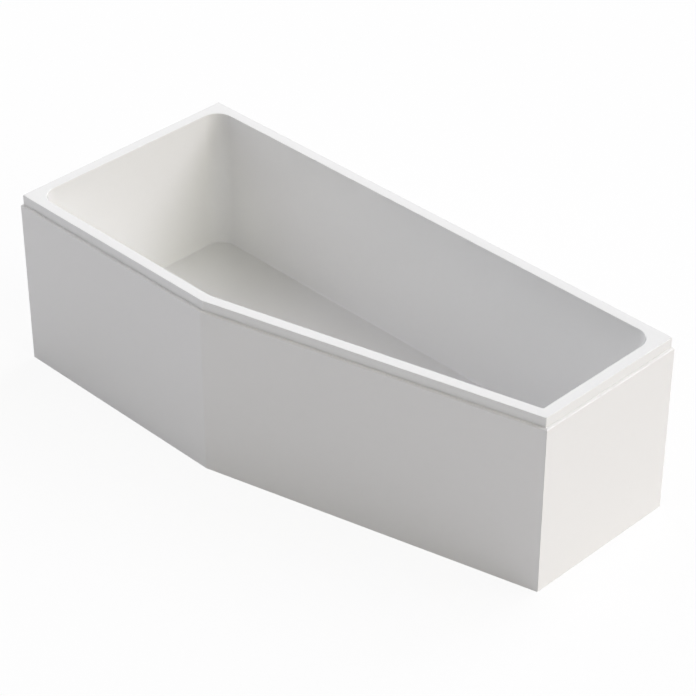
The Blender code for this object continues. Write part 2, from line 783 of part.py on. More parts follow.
def square_ring(side, along):
    """The panel's section, square to a side at a distance along it."""
    return [side_point(side, along, inset, height) for inset, height in panel_section()]


def hook_cutter(name, side, start, stop):
    """A block that takes the hook away from a stretch of a panel."""
    low = LEDGE_HEIGHT
    high = LEDGE_HEIGHT + HOOK_HEIGHT + CUT_OVERRUN
    section = [(HOOK_START - HOOK_CLEARANCE, low), (HOOK_START - HOOK_CLEARANCE, high),
               (HOOK_END + HOOK_CLEARANCE, high), (HOOK_END + HOOK_CLEARANCE, low)]
    rings = [[side_point(side, along, inset, height) for inset, height in section]
             for along in (start, stop)]
    return add_cutter(name, loft(name, rings))


def soften_edges(piece):
    bevel = piece.modifiers.new("edges", "BEVEL")
    bevel.width = PANEL_EDGE_ROUND
    bevel.segments = 1
    bevel.limit_method = "ANGLE"


def make_front_panel():
    """One sheet along the straight and the slanting front, bent at the kink."""
    section = panel_section()
    bend = [Vector((*inset_corner(KINK, inset), height)) for inset, height in section]
    mitre = mitred_rings(SLANT_SIDE, section, 0, MITRE_GAP / 2)[1]
    rings = [square_ring(FRONT_SIDE, 0), bend, mitre]
    panel = add_piece("front_panel", loft("front_panel", rings), "white_acrylic")
    cutter = hook_cutter("front_hook_end", FRONT_SIDE, -CUT_OVERRUN, HOOK_SHORT_OF_WALL)
    boolean(panel, cutter, "DIFFERENCE")
    soften_edges(panel)


def make_end_panel():
    """The sheet across the foot end, from the mitre to the back wall."""
    length = side_length(FOOT_SIDE)
    mitre = mitred_rings(FOOT_SIDE, panel_section(), MITRE_GAP / 2, 0)[0]
    rings = [mitre, square_ring(FOOT_SIDE, length)]
    panel = add_piece("end_panel", loft("end_panel", rings), "white_acrylic")
    cutter = hook_cutter("end_hook_end", FOOT_SIDE, length - HOOK_SHORT_OF_WALL,
                         length + CUT_OVERRUN)
    boolean(panel, cutter, "DIFFERENCE")
    soften_edges(panel)


def make_clip(name, side, share, section, finish):
    """A bent strip with a section of (inset, height), centred at a share of a side."""
    middle = side_length(side) * share
    rings = [[side_point(side, middle + offset, inset, height) for inset, height in section]
             for offset in (-CLIP_WIDTH / 2, CLIP_WIDTH / 2)]
    add_piece(name, loft(name, rings), finish)


def rim_clip_section():
    """A strip under the batten that drops behind the hook and reaches under the panel's ledge."""
    riser = HOOK_END + CLIP_CLEARANCE
    top = BATTEN_BOTTOM - SEAT_GAP
    tongue_top = LEDGE_HEIGHT - PANEL_THICKNESS - SEAT_GAP
    tongue_bottom = tongue_top - CLIP_THICKNESS
    return [(riser, top), (BATTEN_END, top), (BATTEN_END, top - CLIP_THICKNESS),
            (riser + CLIP_THICKNESS, top - CLIP_THICKNESS),
            (riser + CLIP_THICKNESS, tongue_bottom), (HOOK_END - CLIP_TONGUE, tongue_bottom),
            (HOOK_END - CLIP_TONGUE, tongue_top), (riser, tongue_top)]


def floor_clip_section():
    """A strip on the floor that steps up and over the panel's bottom flange."""
    flange = -PANEL_PROUD + PANEL_RETURN
    riser = flange + CLIP_CLEARANCE
    grip = PANEL_THICKNESS + SEAT_GAP
    end = riser + FLOOR_CLIP_FOOT
    return [(riser, 0), (riser, grip), (flange - FLOOR_CLIP_GRIP, grip),
            (flange - FLOOR_CLIP_GRIP, grip + CLIP_THICKNESS),
            (riser + CLIP_THICKNESS, grip + CLIP_THICKNESS), (riser + CLIP_THICKNESS, CLIP_THICKNESS),
            (end, CLIP_THICKNESS), (end, 0)]


def make_clips():
    sides = ((FRONT_SIDE, FRONT_CLIP_SHARES), (SLANT_SIDE, SLANT_CLIP_SHARES),
             (FOOT_SIDE, END_CLIP_SHARES))
    places = [(side, share) for side, shares in sides for share in shares]
    for number, (side, share) in enumerate(places, 1):
        make_clip("rim_clip_" + str(number), side, share, rim_clip_section(), "zinc_plate")
        make_clip("floor_clip_" + str(number), side, share, floor_clip_section(), "zinc_plate")


# Overflow set, about the foot wall's normal

def wall_inset(height):
    """How far in the basin wall's face lies at a height."""
    top = RIM_HEIGHT - RIM_ROUND
    bottom = WASTE_FLOOR + FLOOR_ROUND
    return RIM_BREADTH + WALL_DRAFT * (top - height) / (top - bottom)


def overflow_matrix():
    """The foot wall's face at the overflow: +Z into the basin, +X up the wall."""
    height = RIM_HEIGHT - OVERFLOW_BELOW_RIM
    lean = math.atan(WALL_DRAFT / (BASIN_DEPTH - RIM_ROUND - FLOOR_ROUND))
    place = Matrix.Translation((FOOT_X - wall_inset(height), WASTE_Y, height))
    return place @ Matrix.Rotation(lean - math.pi / 2, 4, "Y")


def add_spider(target, outer, top, bore, parent):
    """A hub on spokes inside a ring, joined to it and drilled for a shaft."""
    name = target.name + "_spider"
    bottom = top - SPOKE_DEPTH
    hub = cylinders(name + "_hub", [(0, 0, bottom, top, HUB_RADIUS, ROUND_SIDES)])
    boolean(target, add_cutter(name + "_hub", hub, parent), "UNION")
    length = outer - HUB_RADIUS / 2
    size = Matrix.Diagonal((length, SPOKE_WIDTH, SPOKE_DEPTH, 1))
    place = Matrix.Translation((HUB_RADIUS / 2 + length / 2, 0, (top + bottom) / 2))
    for number in range(SPOKES):
        turn = Matrix.Rotation(math.tau * number / SPOKES, 4, "Z")
        shape = bmesh.new()
        bmesh.ops.create_cube(shape, size=1, matrix=turn @ place @ size)
        spoke = add_cutter(name + str(number), mesh_from(shape, name + str(number)), parent)
        boolean(target, spoke, "UNION")
    drill = cylinders(name + "_bore", [(0, 0, bottom - CUT_OVERRUN, top + CUT_OVERRUN, bore,
                                        SMALL_SIDES)])
    boolean(target, add_cutter(name + "_bore", drill, parent), "DIFFERENCE")


def make_overflow_flange():
    """The ring on the basin's side, with its threaded neck through the wall."""
    face = SEAT_GAP + OVERFLOW_FACE_THICKNESS
    bore = THREAD_RADIUS - THREAD_WALL
    end = -SHELL_THICKNESS - OVERFLOW_THREAD_LENGTH
    profile = [(OVERFLOW_FACE_RADIUS, face), (OVERFLOW_FACE_RADIUS, SEAT_GAP),
               (THREAD_RADIUS, SEAT_GAP), (THREAD_RADIUS, end), (bore, end), (bore, face)]
    flange = turned("overflow_flange", profile, "chrome_plate", OVERFLOW_FRAME, ring=True)
    add_spider(flange, bore + THREAD_WALL / 2, face - SEAT_GAP, KNOB_SHAFT_RADIUS + SEAT_GAP,
               OVERFLOW_FRAME)


def make_overflow_knob():
    """The round control: a shallow cap with scallops round its edge, on a shaft."""
    back = SEAT_GAP + OVERFLOW_FACE_THICKNESS + KNOB_STAND_OFF
    front = back + KNOB_HEIGHT
    inner = KNOB_RADIUS - KNOB_WALL
    reach = -SHELL_THICKNESS - KNOB_SHAFT_REACH
    edge = arc_points((KNOB_RADIUS - KNOB_EDGE_ROUND, front - KNOB_EDGE_ROUND),
                      KNOB_EDGE_ROUND, 90, 0, ROUND_STEPS)
    profile = [(0, front)] + edge + [(KNOB_RADIUS, back), (inner, back),
                                     (inner, front - KNOB_WALL),
                                     (KNOB_SHAFT_RADIUS, front - KNOB_WALL),
                                     (KNOB_SHAFT_RADIUS, reach), (0, reach)]
    knob = turned("overflow_knob", profile, "chrome_plate", OVERFLOW_FRAME)
    scallops = []
    for number in range(KNOB_SCALLOPS):
        angle = math.tau * number / KNOB_SCALLOPS + math.pi / KNOB_SCALLOPS
        distance = KNOB_RADIUS - KNOB_SCALLOP_DEPTH / 2 + KNOB_SCALLOP_RADIUS
        scallops.append((distance * math.cos(angle), distance * math.sin(angle),
                         back - CUT_OVERRUN, front + CUT_OVERRUN, KNOB_SCALLOP_RADIUS,
                         ROUND_SIDES))
    cutter = add_cutter("knob_scallops", cylinders("knob_scallops", scallops), OVERFLOW_FRAME)
    boolean(knob, cutter, "DIFFERENCE")


def make_overflow_gasket():
    top = -SHELL_THICKNESS - SEAT_GAP
    ring = flat_ring(OVERFLOW_FACE_RADIUS, OVERFLOW_HOLE_RADIUS, top,
                     top - OVERFLOW_GASKET_THICKNESS)
    turned("overflow_gasket", ring, "black_rubber", OVERFLOW_FRAME, ring=True)


def elbow_levels():
    """The elbow's front face and its closed back, along the wall's normal."""
    front = -SHELL_THICKNESS - SEAT_GAP - OVERFLOW_GASKET_THICKNESS - SEAT_GAP
    return front, front - ELBOW_DEPTH


def elbow_outlet():
    """Where the elbow's spigot ends, in the world."""
    front, back = elbow_levels()
    root = overflow_matrix() @ Vector((0, 0, (front - ELBOW_FLANGE_THICKNESS + back) / 2))
    return Vector((root.x, root.y, root.z - ELBOW_SPIGOT_DROP))


def make_overflow_elbow():
    """The cup behind the wall, with a spigot for the hose and a boss for the cable."""
    front, back = elbow_levels()
    inner = ELBOW_RADIUS - ELBOW_WALL
    mouth = THREAD_RADIUS + SEAT_GAP
    step = front - OVERFLOW_THREAD_LENGTH
    profile = [(ELBOW_FLANGE_RADIUS, front), (ELBOW_FLANGE_RADIUS, front - ELBOW_FLANGE_THICKNESS),
               (ELBOW_RADIUS, front - ELBOW_FLANGE_THICKNESS), (ELBOW_RADIUS, back), (0, back),
               (0, back + ELBOW_WALL), (inner, back + ELBOW_WALL), (inner, step), (mouth, step),
               (mouth, front)]
    elbow = turned("overflow_elbow", profile, "white_plastic", OVERFLOW_FRAME, ring=True)
    outlet = elbow_outlet()
    cup_foot = Vector((outlet.x, outlet.y, outlet.z + ELBOW_SPIGOT_DROP - inner))
    root = cup_foot - Vector((0, 0, ELBOW_WALL * SPIGOT_ROOT_SHARE))
    spigot = rod_between("elbow_spigot", root, outlet, SPIGOT_RADIUS)
    boolean(elbow, add_cutter("elbow_spigot", spigot), "UNION")
    boss_root = cable_top() + Vector((0, 0, ELBOW_SPIGOT_DROP - ELBOW_RADIUS * BOSS_ROOT_SHARE))
    boss = rod_between("elbow_boss", boss_root, cable_top(), CABLE_BOSS_RADIUS, SMALL_SIDES)
    boolean(elbow, add_cutter("elbow_boss", boss), "UNION")
    bore = rod_between("elbow_bore", cup_foot + Vector((0, 0, SPIGOT_BORE)),
                       outlet - Vector((0, 0, CUT_OVERRUN)), SPIGOT_BORE)
    boolean(elbow, add_cutter("elbow_bore", bore), "DIFFERENCE")


# Hose and cable

def cable_top():
    """Where the cable enters the elbow's boss."""
    outlet = elbow_outlet()
    return outlet + Vector((0, CABLE_ASIDE, 0))


def hose_level():
    """The height at which the hose and the cable run to the waste body's neck."""
    return body_levels()["neck_middle"]


def make_overflow_hose():
    """A ribbed hose, pushed over both spigots, its ends plain."""
    top = elbow_outlet()
    level = hose_level()
    bore = SPIGOT_RADIUS + HOSE_FIT
    start = Vector((top.x, top.y, top.z + HOSE_GRIP))
    end = Vector((WASTE_X + WASTE_SPIGOT_REACH - HOSE_GRIP, WASTE_Y, level))
    route = rounded_path([start, Vector((top.x, top.y, level)), end], [HOSE_BEND_RADIUS])
    length = path_length(route)
    plain = HOSE_RADIUS * 2
    distances = [0, plain]
    radii = [HOSE_RADIUS, HOSE_RADIUS]
    half_pitch = (length - plain * 2) / (HOSE_RIB_COUNT * 2)
    for step in range(1, HOSE_RIB_COUNT * 2 + 1):
        distances.append(plain + half_pitch * step)
        radii.append(HOSE_RADIUS - HOSE_GROOVE * (step % 2))
    distances.append(length)
    radii.append(HOSE_RADIUS)
    path = [point_along(route, distance)[0] for distance in distances]
    mesh = pipe("overflow_hose", path, Vector((0, 1, 0)), radii, bore, HOSE_SIDES)
    add_piece("overflow_hose", mesh, "dark_plastic")


def make_cable():
    """The cable from the knob's boss to the plug's lifter, beside the hose."""
    start = cable_top() - Vector((0, 0, SEAT_GAP))
    level = hose_level()
    end = Vector((WASTE_X + CABLE_BOSS_REACH + SEAT_GAP, start.y, level))
    route = rounded_path([start, Vector((start.x, start.y, level)), end], [CABLE_BEND_RADIUS])
    curve = bpy.data.curves.new("plug_cable", "CURVE")
    curve.dimensions = "3D"
    curve.bevel_depth = CABLE_RADIUS
    curve.bevel_resolution = 2
    curve.use_fill_caps = True
    spline = curve.splines.new("POLY")
    spline.points.add(len(route) - 1)
    for point, place in zip(spline.points, route):
        point.co = (*place, 1)
    add_piece("plug_cable", curve, "dark_plastic")


# Waste set, about the waste hole's upright axis

def body_levels():
    """Heights of the waste body, worked down from the shell's seat."""
    flange_top = SEAT_UNDERSIDE - SEAT_GAP - UNDER_GASKET_THICKNESS - SEAT_GAP
    neck_top = flange_top - BODY_FLANGE_THICKNESS
    neck_bottom = neck_top - NECK_LENGTH
    return {"flange_top": flange_top, "neck_top": neck_top, "neck_bottom": neck_bottom,
            "neck_middle": (neck_top + neck_bottom) / 2, "tail_bottom": neck_bottom - TAIL_LENGTH}


def make_waste_flange():
    """The metal flange in the dish, with its threaded neck through the hole."""
    bottom = SEAT_HEIGHT + SEAT_GAP + GASKET_THICKNESS + SEAT_GAP
    top = bottom + FLANGE_THICKNESS
    bore = THREAD_RADIUS - THREAD_WALL
    end = SEAT_UNDERSIDE - (WASTE_THREAD_LENGTH - SHELL_THICKNESS)
    profile = [(FLANGE_RADIUS, top), (FLANGE_RADIUS, bottom), (THREAD_RADIUS, bottom),
               (THREAD_RADIUS, end), (bore, end), (bore, bottom), (THREAD_RADIUS, top)]
    turned("waste_flange", profile, "chrome_plate", WASTE_FRAME, ring=True)


def make_waste_gaskets():
    top = SEAT_HEIGHT + SEAT_GAP + GASKET_THICKNESS
    upper = flat_ring(FLANGE_RADIUS, WASTE_HOLE_RADIUS, top, SEAT_HEIGHT + SEAT_GAP)
    turned("waste_gasket", upper, "black_rubber", WASTE_FRAME, ring=True)
    top = SEAT_UNDERSIDE - SEAT_GAP
    under = flat_ring(SEAT_RADIUS, WASTE_HOLE_RADIUS, top, top - UNDER_GASKET_THICKNESS)
    turned("waste_under_gasket", under, "black_rubber", WASTE_FRAME, ring=True)


def make_waste_body():
    """The body under the floor: flange, neck with a plug guide, spigot, cable boss and tail."""
    levels = body_levels()
    bore = THREAD_RADIUS + SEAT_GAP
    floor = levels["neck_bottom"] + NECK_FLOOR
    profile = [(BODY_FLANGE_RADIUS, levels["flange_top"]), (BODY_FLANGE_RADIUS, levels["neck_top"]),
               (NECK_RADIUS, levels["neck_top"]), (NECK_RADIUS, levels["neck_bottom"]),
               (TRAP_RADIUS, levels["neck_bottom"]), (TRAP_RADIUS, levels["tail_bottom"]),
               (TRAP_BORE, levels["tail_bottom"]), (TRAP_BORE, floor), (bore, floor),
               (bore, levels["flange_top"])]
    body = turned("waste_body", profile, "white_plastic", WASTE_FRAME, ring=True)
    wall_middle = (NECK_RADIUS + bore) / 2
    level = levels["neck_middle"]
    spigot = rod_between("waste_spigot", (wall_middle, 0, level),
                         (WASTE_SPIGOT_REACH, 0, level), SPIGOT_RADIUS)
    boolean(body, add_cutter("waste_spigot", spigot, WASTE_FRAME), "UNION")
    boss_root = math.sqrt(wall_middle ** 2 - CABLE_ASIDE ** 2)
    boss = rod_between("waste_boss", (boss_root, CABLE_ASIDE, level),
                       (CABLE_BOSS_REACH, CABLE_ASIDE, level), CABLE_BOSS_RADIUS, SMALL_SIDES)
    boolean(body, add_cutter("waste_boss", boss, WASTE_FRAME), "UNION")
    hole = rod_between("waste_bore", (bore - ELBOW_WALL, 0, level),
                       (WASTE_SPIGOT_REACH + CUT_OVERRUN, 0, level), SPIGOT_BORE)
    boolean(body, add_cutter("waste_bore", hole, WASTE_FRAME), "DIFFERENCE")
    add_spider(body, wall_middle, guide_heights()[0], PLUG_STEM_RADIUS + PLUG_GUIDE_CLEARANCE,
               WASTE_FRAME)


def crown_profile(radius, rise, height):
    """Points down a shallow dome, from its top on the axis to its edge at a height."""
    sphere = (radius ** 2 + rise ** 2) / (rise * 2)
    edge = math.degrees(math.acos(radius / sphere))
    return [(0, height + rise)] + arc_points((0, height + rise - sphere), sphere, 90, edge,
                                             CROWN_STEPS)[1:]


def guide_heights():
    """Top and bottom of the hub that guides the plug's stem."""
    top = body_levels()["neck_bottom"] + NECK_FLOOR + SPOKE_DEPTH / 2
    return top, top - SPOKE_DEPTH


def make_plug():
    """The pop-up plug: a low-crowned cap on a stem, and the seal under the cap."""
    flange_top = SEAT_HEIGHT + SEAT_GAP * 2 + GASKET_THICKNESS + FLANGE_THICKNESS
    seal_bottom = flange_top + SEAT_GAP
    cap_bottom = seal_bottom + PLUG_SEAL_THICKNESS + SEAT_GAP
    cap_top = cap_bottom + PLUG_THICKNESS
    crown = crown_profile(PLUG_RADIUS, PLUG_CROWN, cap_top)
    stem_end = guide_heights()[1] - PLUG_LIFT
    profile = crown + [(PLUG_RADIUS, cap_bottom), (PLUG_STEM_RADIUS, cap_bottom),
                       (PLUG_STEM_RADIUS, stem_end), (0, stem_end)]
    turned("waste_plug", profile, "chrome_plate", WASTE_FRAME)
    seal = flat_ring(PLUG_RADIUS - PLUG_SEAL_INSET, PLUG_STEM_RADIUS + SEAT_GAP,
                     cap_bottom - SEAT_GAP, seal_bottom)
    turned("plug_seal", seal, "black_rubber", WASTE_FRAME, ring=True)


# Trap and outlet

def trap_corners():
    """Corners of the trap's centre line, from the tail down, under and up to the outlet."""
    top = body_levels()["tail_bottom"] - SEAT_GAP
    low = top - TRAP_TAIL_RUN - TRAP_BEND_RADIUS
    high = low + TRAP_RISE
    return [Vector((WASTE_X, WASTE_Y, top)), Vector((WASTE_X, WASTE_Y, low)),
            Vector((WASTE_X, WASTE_Y + TRAP_BEND_RADIUS * 2, low)),
            Vector((WASTE_X, WASTE_Y + TRAP_BEND_RADIUS * 2, high)),
            Vector((WASTE_X, WASTE_Y + TRAP_BEND_RADIUS * 2 + TRAP_OUTLET_BEND
                    + TRAP_OUTLET_REACH, high))]


def make_trap():
    """The U-bend and the outlet pipe to the wall."""
    side = Vector((1, 0, 0))
    corners = trap_corners()
    route = rounded_path(corners, [TRAP_BEND_RADIUS, TRAP_BEND_RADIUS, TRAP_OUTLET_BEND])
    bend = pipe("trap_bend", route, side, [TRAP_RADIUS] * len(route), TRAP_BORE, PIPE_SIDES)
    add_piece("trap_bend", bend, "white_plastic")
    start = corners[-1] + Vector((0, SEAT_GAP, 0))
    end = Vector((start.x, BACK_Y - OUTLET_SHORT_OF_WALL, start.z))
    outlet = pipe("outlet_pipe", [start, end], side, [TRAP_RADIUS] * 2, TRAP_BORE, PIPE_SIDES)
    add_piece("outlet_pipe", outlet, "white_plastic")


def make_union_nuts():
    """The two nuts that slip over the joints of the trap."""
    bore = TRAP_RADIUS + SEAT_GAP
    for name, place, axis in (("trap_nut", trap_corners()[0], Vector((0, 0, 1))),
                              ("outlet_nut", trap_corners()[-1], Vector((0, 1, 0)))):
        mesh = nut_mesh(name, bore + UNION_NUT_WALL, bore, UNION_NUT_LENGTH)
        nut = add_piece(name, mesh, "white_plastic")
        nut.location = place - axis * (UNION_NUT_LENGTH / 2)
        nut.rotation_euler = axis.to_track_quat("Z", "Y").to_euler()


# The assembly
clear_scene()
TUB = new_collection("space_saving_bathtub")
CUTTERS = new_collection("cutters")
FLOOR_TILT = Matrix.Rotation(math.atan(FLOOR_SLOPE), 4, "Y")
FLOOR_FRAME = add_frame("floor_frame",
                        Matrix.Translation((WASTE_X, WASTE_Y, FLOOR_UNDERSIDE)) @ FLOOR_TILT)
OVERFLOW_FRAME = add_frame("overflow_frame", overflow_matrix())
WASTE_FRAME = add_frame("waste_frame", Matrix.Translation((WASTE_X, WASTE_Y, 0)))
bpy.context.view_layer.update()

make_tub_shell()
make_floor_board()
for batten, batten_side in (("rim_batten_front", FRONT_SIDE), ("rim_batten_slant", SLANT_SIDE),
                            ("rim_batten_foot", FOOT_SIDE), ("rim_batten_back", BACK_SIDE),
                            ("rim_batten_head", HEAD_SIDE)):
    make_batten(batten, batten_side)
for rail_name in ("head", "foot"):
    make_rail(rail_name)
    for rail_end, leveller_y in leveller_places(rail_name).items():
        make_leveller(rail_name, rail_end, leveller_y)
for screw_number, (screw_x, screw_y) in enumerate(rail_screw_places(), 1):
    make_rail_screw(screw_number, screw_x, screw_y)
make_front_panel()
make_end_panel()
make_clips()
make_overflow_flange()
make_overflow_knob()
make_overflow_gasket()
make_overflow_elbow()
make_overflow_hose()
make_cable()
make_waste_flange()
make_waste_gaskets()
make_waste_body()
make_plug()
make_trap()
make_union_nuts()
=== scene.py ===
"""The looks of a space-saving bathtub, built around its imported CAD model.

Metres, +Z up. +X runs from the wide head end to the narrow foot end, +Y to the back wall.
"""
import math
import bmesh
import bpy
import numpy as np
from mathutils import Matrix, Quaternion, Vector


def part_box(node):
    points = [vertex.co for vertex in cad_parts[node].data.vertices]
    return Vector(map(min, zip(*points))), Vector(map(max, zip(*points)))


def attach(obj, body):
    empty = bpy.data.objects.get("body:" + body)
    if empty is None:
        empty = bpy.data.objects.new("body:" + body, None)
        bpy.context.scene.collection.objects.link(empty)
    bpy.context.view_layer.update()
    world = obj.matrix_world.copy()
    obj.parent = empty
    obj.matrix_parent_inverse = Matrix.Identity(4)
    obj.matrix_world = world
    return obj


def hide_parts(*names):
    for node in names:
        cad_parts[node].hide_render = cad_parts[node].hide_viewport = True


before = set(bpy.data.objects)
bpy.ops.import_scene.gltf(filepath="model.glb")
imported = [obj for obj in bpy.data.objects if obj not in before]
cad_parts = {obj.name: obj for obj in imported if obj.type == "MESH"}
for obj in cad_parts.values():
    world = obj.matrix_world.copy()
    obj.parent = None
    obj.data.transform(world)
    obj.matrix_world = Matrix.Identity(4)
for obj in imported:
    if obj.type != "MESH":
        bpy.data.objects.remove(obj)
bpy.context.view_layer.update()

# Outline of the rim, seen from above
RIM_LENGTH, HEAD_WIDTH, FOOT_WIDTH, STRAIGHT_RUN, PANEL_PROUD = 1.600, 0.690, 0.455, 0.692, 0.009
HEAD_X = -(RIM_LENGTH + PANEL_PROUD) / 2
FOOT_X = HEAD_X + RIM_LENGTH
BACK_Y = (HEAD_WIDTH + PANEL_PROUD) / 2
FRONT_Y = BACK_Y - HEAD_WIDTH

# Section of the tub
RIM_HEIGHT, RIM_BREADTH, RIM_ROUND, SHELL, SKIRT_DEPTH = 0.512, 0.030, 0.0015, 0.005, 0.028
WASTE_FLOOR, WALL_DRAFT, FLOOR_ROUND, FLOOR_FALL = 0.102, 0.018, 0.003, 0.008
SKIRT_BOTTOM = RIM_HEIGHT - SKIRT_DEPTH
SKIRT_EDGE = 0.0002
RIM_CORNER_RADIUS = 0.0015
BASIN_RADII = np.array((0.050, 0.040, 0.004, 0.050, 0.050))
FLOOR_EDGE = RIM_BREADTH + WALL_DRAFT + FLOOR_ROUND

# Waste, its dish and the overflow
WASTE_FROM_FOOT = 0.160
WASTE = np.array((FOOT_X - WASTE_FROM_FOOT, BACK_Y - FOOT_WIDTH / 2))
HOLE_RADIUS, SEAT_RADIUS, DISH_RADIUS, DISH_DEPTH = 0.0265, 0.040, 0.060, 0.006
SEAT_HEIGHT = WASTE_FLOOR - DISH_DEPTH
FLOOR_SLOPE = FLOOR_FALL / (WASTE[0] - HEAD_X - FLOOR_EDGE)
OVERFLOW_PLACE = (0.762015, 0.122, 0.432)
WALL_LEAN = math.atan(WALL_DRAFT / (RIM_HEIGHT - WASTE_FLOOR - RIM_ROUND - FLOOR_ROUND))

# Panels
LEDGE_GAP = 0.0001
LEDGE_HEIGHT = SKIRT_BOTTOM - LEDGE_GAP
SHEET, SHEET_RETURN, SHEET_EDGE, SHEET_BEND, KINK_BEND = 0.004, 0.026, 0.0010, 0.003, 0.006
HOOK_START, HOOK_END, HOOK_HEIGHT, HOOK_SHORT, MITRE_GAP = 0.006, 0.009, 0.009, 0.030, 0.0006

SIDES = ("front", "slant", "foot", "back", "head")
FRONT, SLANT, FOOT, BACK = range(4)
CORNERS = np.array(((HEAD_X, FRONT_Y), (HEAD_X + STRAIGHT_RUN, FRONT_Y),
                    (FOOT_X, BACK_Y - FOOT_WIDTH), (FOOT_X, BACK_Y), (HEAD_X, BACK_Y)))
ALONG = np.roll(CORNERS, -1, 0) - CORNERS
SIDE_LENGTHS = np.linalg.norm(ALONG, axis=1)
ALONG = ALONG / SIDE_LENGTHS[:, None]
INWARD = np.stack((-ALONG[:, 1], ALONG[:, 0]), 1)

# Steps of each corner's arc, the angle between rays from the waste, and a turned piece's sides
ARC_STEPS = (16, 6, 10, 16, 16)
RAY_STEP = math.radians(6)
ROUND = 96


# Arrays of points

def grid_faces(rows, columns, round_rows):
    """Four-sided faces of a grid numbered row by row, each row closed on itself."""
    row, column = np.meshgrid(np.arange(rows if round_rows else rows - 1), np.arange(columns),
                              indexing="ij")
    below, after = (row + 1) % rows, (column + 1) % columns
    corners = (row * columns + column, row * columns + after, below * columns + after,
               below * columns + column)
    return np.stack(corners, -1).reshape(-1, 4)


def shell(grid, round_rows=False):
    """A closed surface over a grid of points with round rows; open ends get a flat cap each."""
    rows, columns = grid.shape[:2]
    faces = grid_faces(rows, columns, round_rows).tolist()
    if not round_rows:
        faces += [list(range(columns))[::-1], list(range((rows - 1) * columns, rows * columns))]
    return grid.reshape(-1, 3), faces


def unit(vectors):
    return vectors / np.linalg.norm(vectors, axis=-1, keepdims=True)


def spokes(angle):
    """Unit vectors in a plane at some angles."""
    return np.stack((np.cos(angle), np.sin(angle)), -1)


def oblong(first, second, top, bottom):
    """A section's four corners between two radii or places across, and two heights."""
    return np.array(((first, top), (first, bottom), (second, bottom), (second, top)))


def rounded(corners, radii, steps=5, closed=True):
    """Corners of a line or a ring, each turned into an arc.

    An arc's centre lies on the corner's bisector at radius / sin(half angle); its points are the
    two tangent points' spokes, mixed by the sines of the shares of the angle between them.
    """
    corners = np.asarray(corners, float)
    radii = np.broadcast_to(np.asarray(radii, float), len(corners))[:, None]
    back, ahead = np.roll(corners, 1, 0) - corners, np.roll(corners, -1, 0) - corners
    if not closed:
        back[0], ahead[-1] = -ahead[0], -back[-1]
    back, ahead = unit(back), unit(ahead)
    half = np.arccos(np.clip((back * ahead).sum(1, keepdims=True), -1, 1)) / 2
    straight = half > math.pi / 2 - 1e-4
    half = np.where(straight, math.pi / 4, half)
    middle = back + ahead
    middle = middle / np.maximum(np.linalg.norm(middle, axis=1, keepdims=True), 1e-9)
    radii = np.where(straight, 0, radii)
    centre = corners + middle * radii / np.sin(half)
    first = corners + back * radii / np.tan(half) - centre
    last = corners + ahead * radii / np.tan(half) - centre
    turn = (math.pi - 2 * half)[:, None]
    share = np.linspace(0, 1, steps + 1)[None, :, None]
    points = centre[:, None] + (np.sin((1 - share) * turn) * first[:, None]
                                + np.sin(share * turn) * last[:, None]) / np.sin(turn)
    points = points.reshape(-1, corners.shape[1])
    gap = np.linalg.norm(points - np.roll(points, 1, 0), axis=1)
    keep = gap > 1e-7
    if not closed:
        keep[0] = True
    return points[keep]


def placed(points, matrix):
    """Points of a piece's own frame, taken to where the matrix puts it."""
    matrix = np.array(matrix)
    return points @ matrix[:3, :3].T + matrix[:3, 3]


def turned(profile, matrix=Matrix.Identity(4), sides=ROUND, ring=False, shape_of=None):
    """A solid of revolution: (radius cos a, radius sin a, height) for each profile point and angle.

    shape_of changes the radius and the height by the angle, for scallops, flats and recesses.
    """
    radius, height = np.asarray(profile, float).T[:, :, None]
    angle = np.arange(sides)[None] * math.tau / sides
    radius, height = radius + 0 * angle, height + 0 * angle
    if shape_of:
        radius, height = shape_of(radius, height, angle)
    grid = np.stack((radius * np.cos(angle), radius * np.sin(angle), height), -1)
    return shell(placed(grid, matrix), ring)


def resample(path, distances):
    """Points at given distances along a path."""
    travelled = np.concatenate(([0], np.cumsum(np.linalg.norm(np.diff(path, axis=0), axis=1))))
    return np.stack([np.interp(distances, travelled, path[:, axis]) for axis in range(3)], 1)


def path_length(path):
    return np.linalg.norm(np.diff(path, axis=0), axis=1).sum()


def tangents(path):
    """Directions along a path, from each point's neighbours."""
    ends = np.concatenate((path[:1], path, path[-1:]))
    return unit(ends[2:] - ends[:-2])


def swept(path, side, sections):
    """Sections carried along a path in one plane: point + side * u + (direction x side) * v."""
    side = np.asarray(side, float)
    up = np.cross(tangents(path), side)
    sections = np.broadcast_to(sections, (len(path),) + np.shape(sections)[-2:])
    return path[:, None] + side * sections[..., :1] + up[:, None] * sections[..., 1:]


def circle(radius, sides):
    """Points of a circle, for each radius."""
    return np.asarray(radius)[..., None, None] * spokes(np.arange(sides) * math.tau / sides)


def tube(path, side, radii, bore, sides=32):
    """A hollow pipe: circles along its outside, then back along its bore."""
    outside = swept(path, side, circle(radii, sides))
    inside = swept(path, side, circle(np.full(len(path), bore), sides))
    return shell(np.concatenate((outside, inside[::-1])), True)


def strip(line, thickness):
    """A bent sheet's section: its middle line moved half its thickness to each side."""
    ends = np.concatenate((line[:1] * 2 - line[1:2], line, line[-1:] * 2 - line[-2:-1]))
    run = unit(ends[2:] - ends[:-2])
    across = np.stack((-run[:, 1], run[:, 0]), 1) * thickness / 2
    return np.concatenate((line + across, (line - across)[::-1]))


# Meshes and pieces

def join(shells):
    """One list of points and faces out of several shells."""
    starts = np.cumsum([0] + [len(points) for points, faces in shells])
    faces = [[index + start for index in face]
             for (points, faces), start in zip(shells, starts) for face in faces]
    return np.concatenate([points for points, faces in shells]), faces


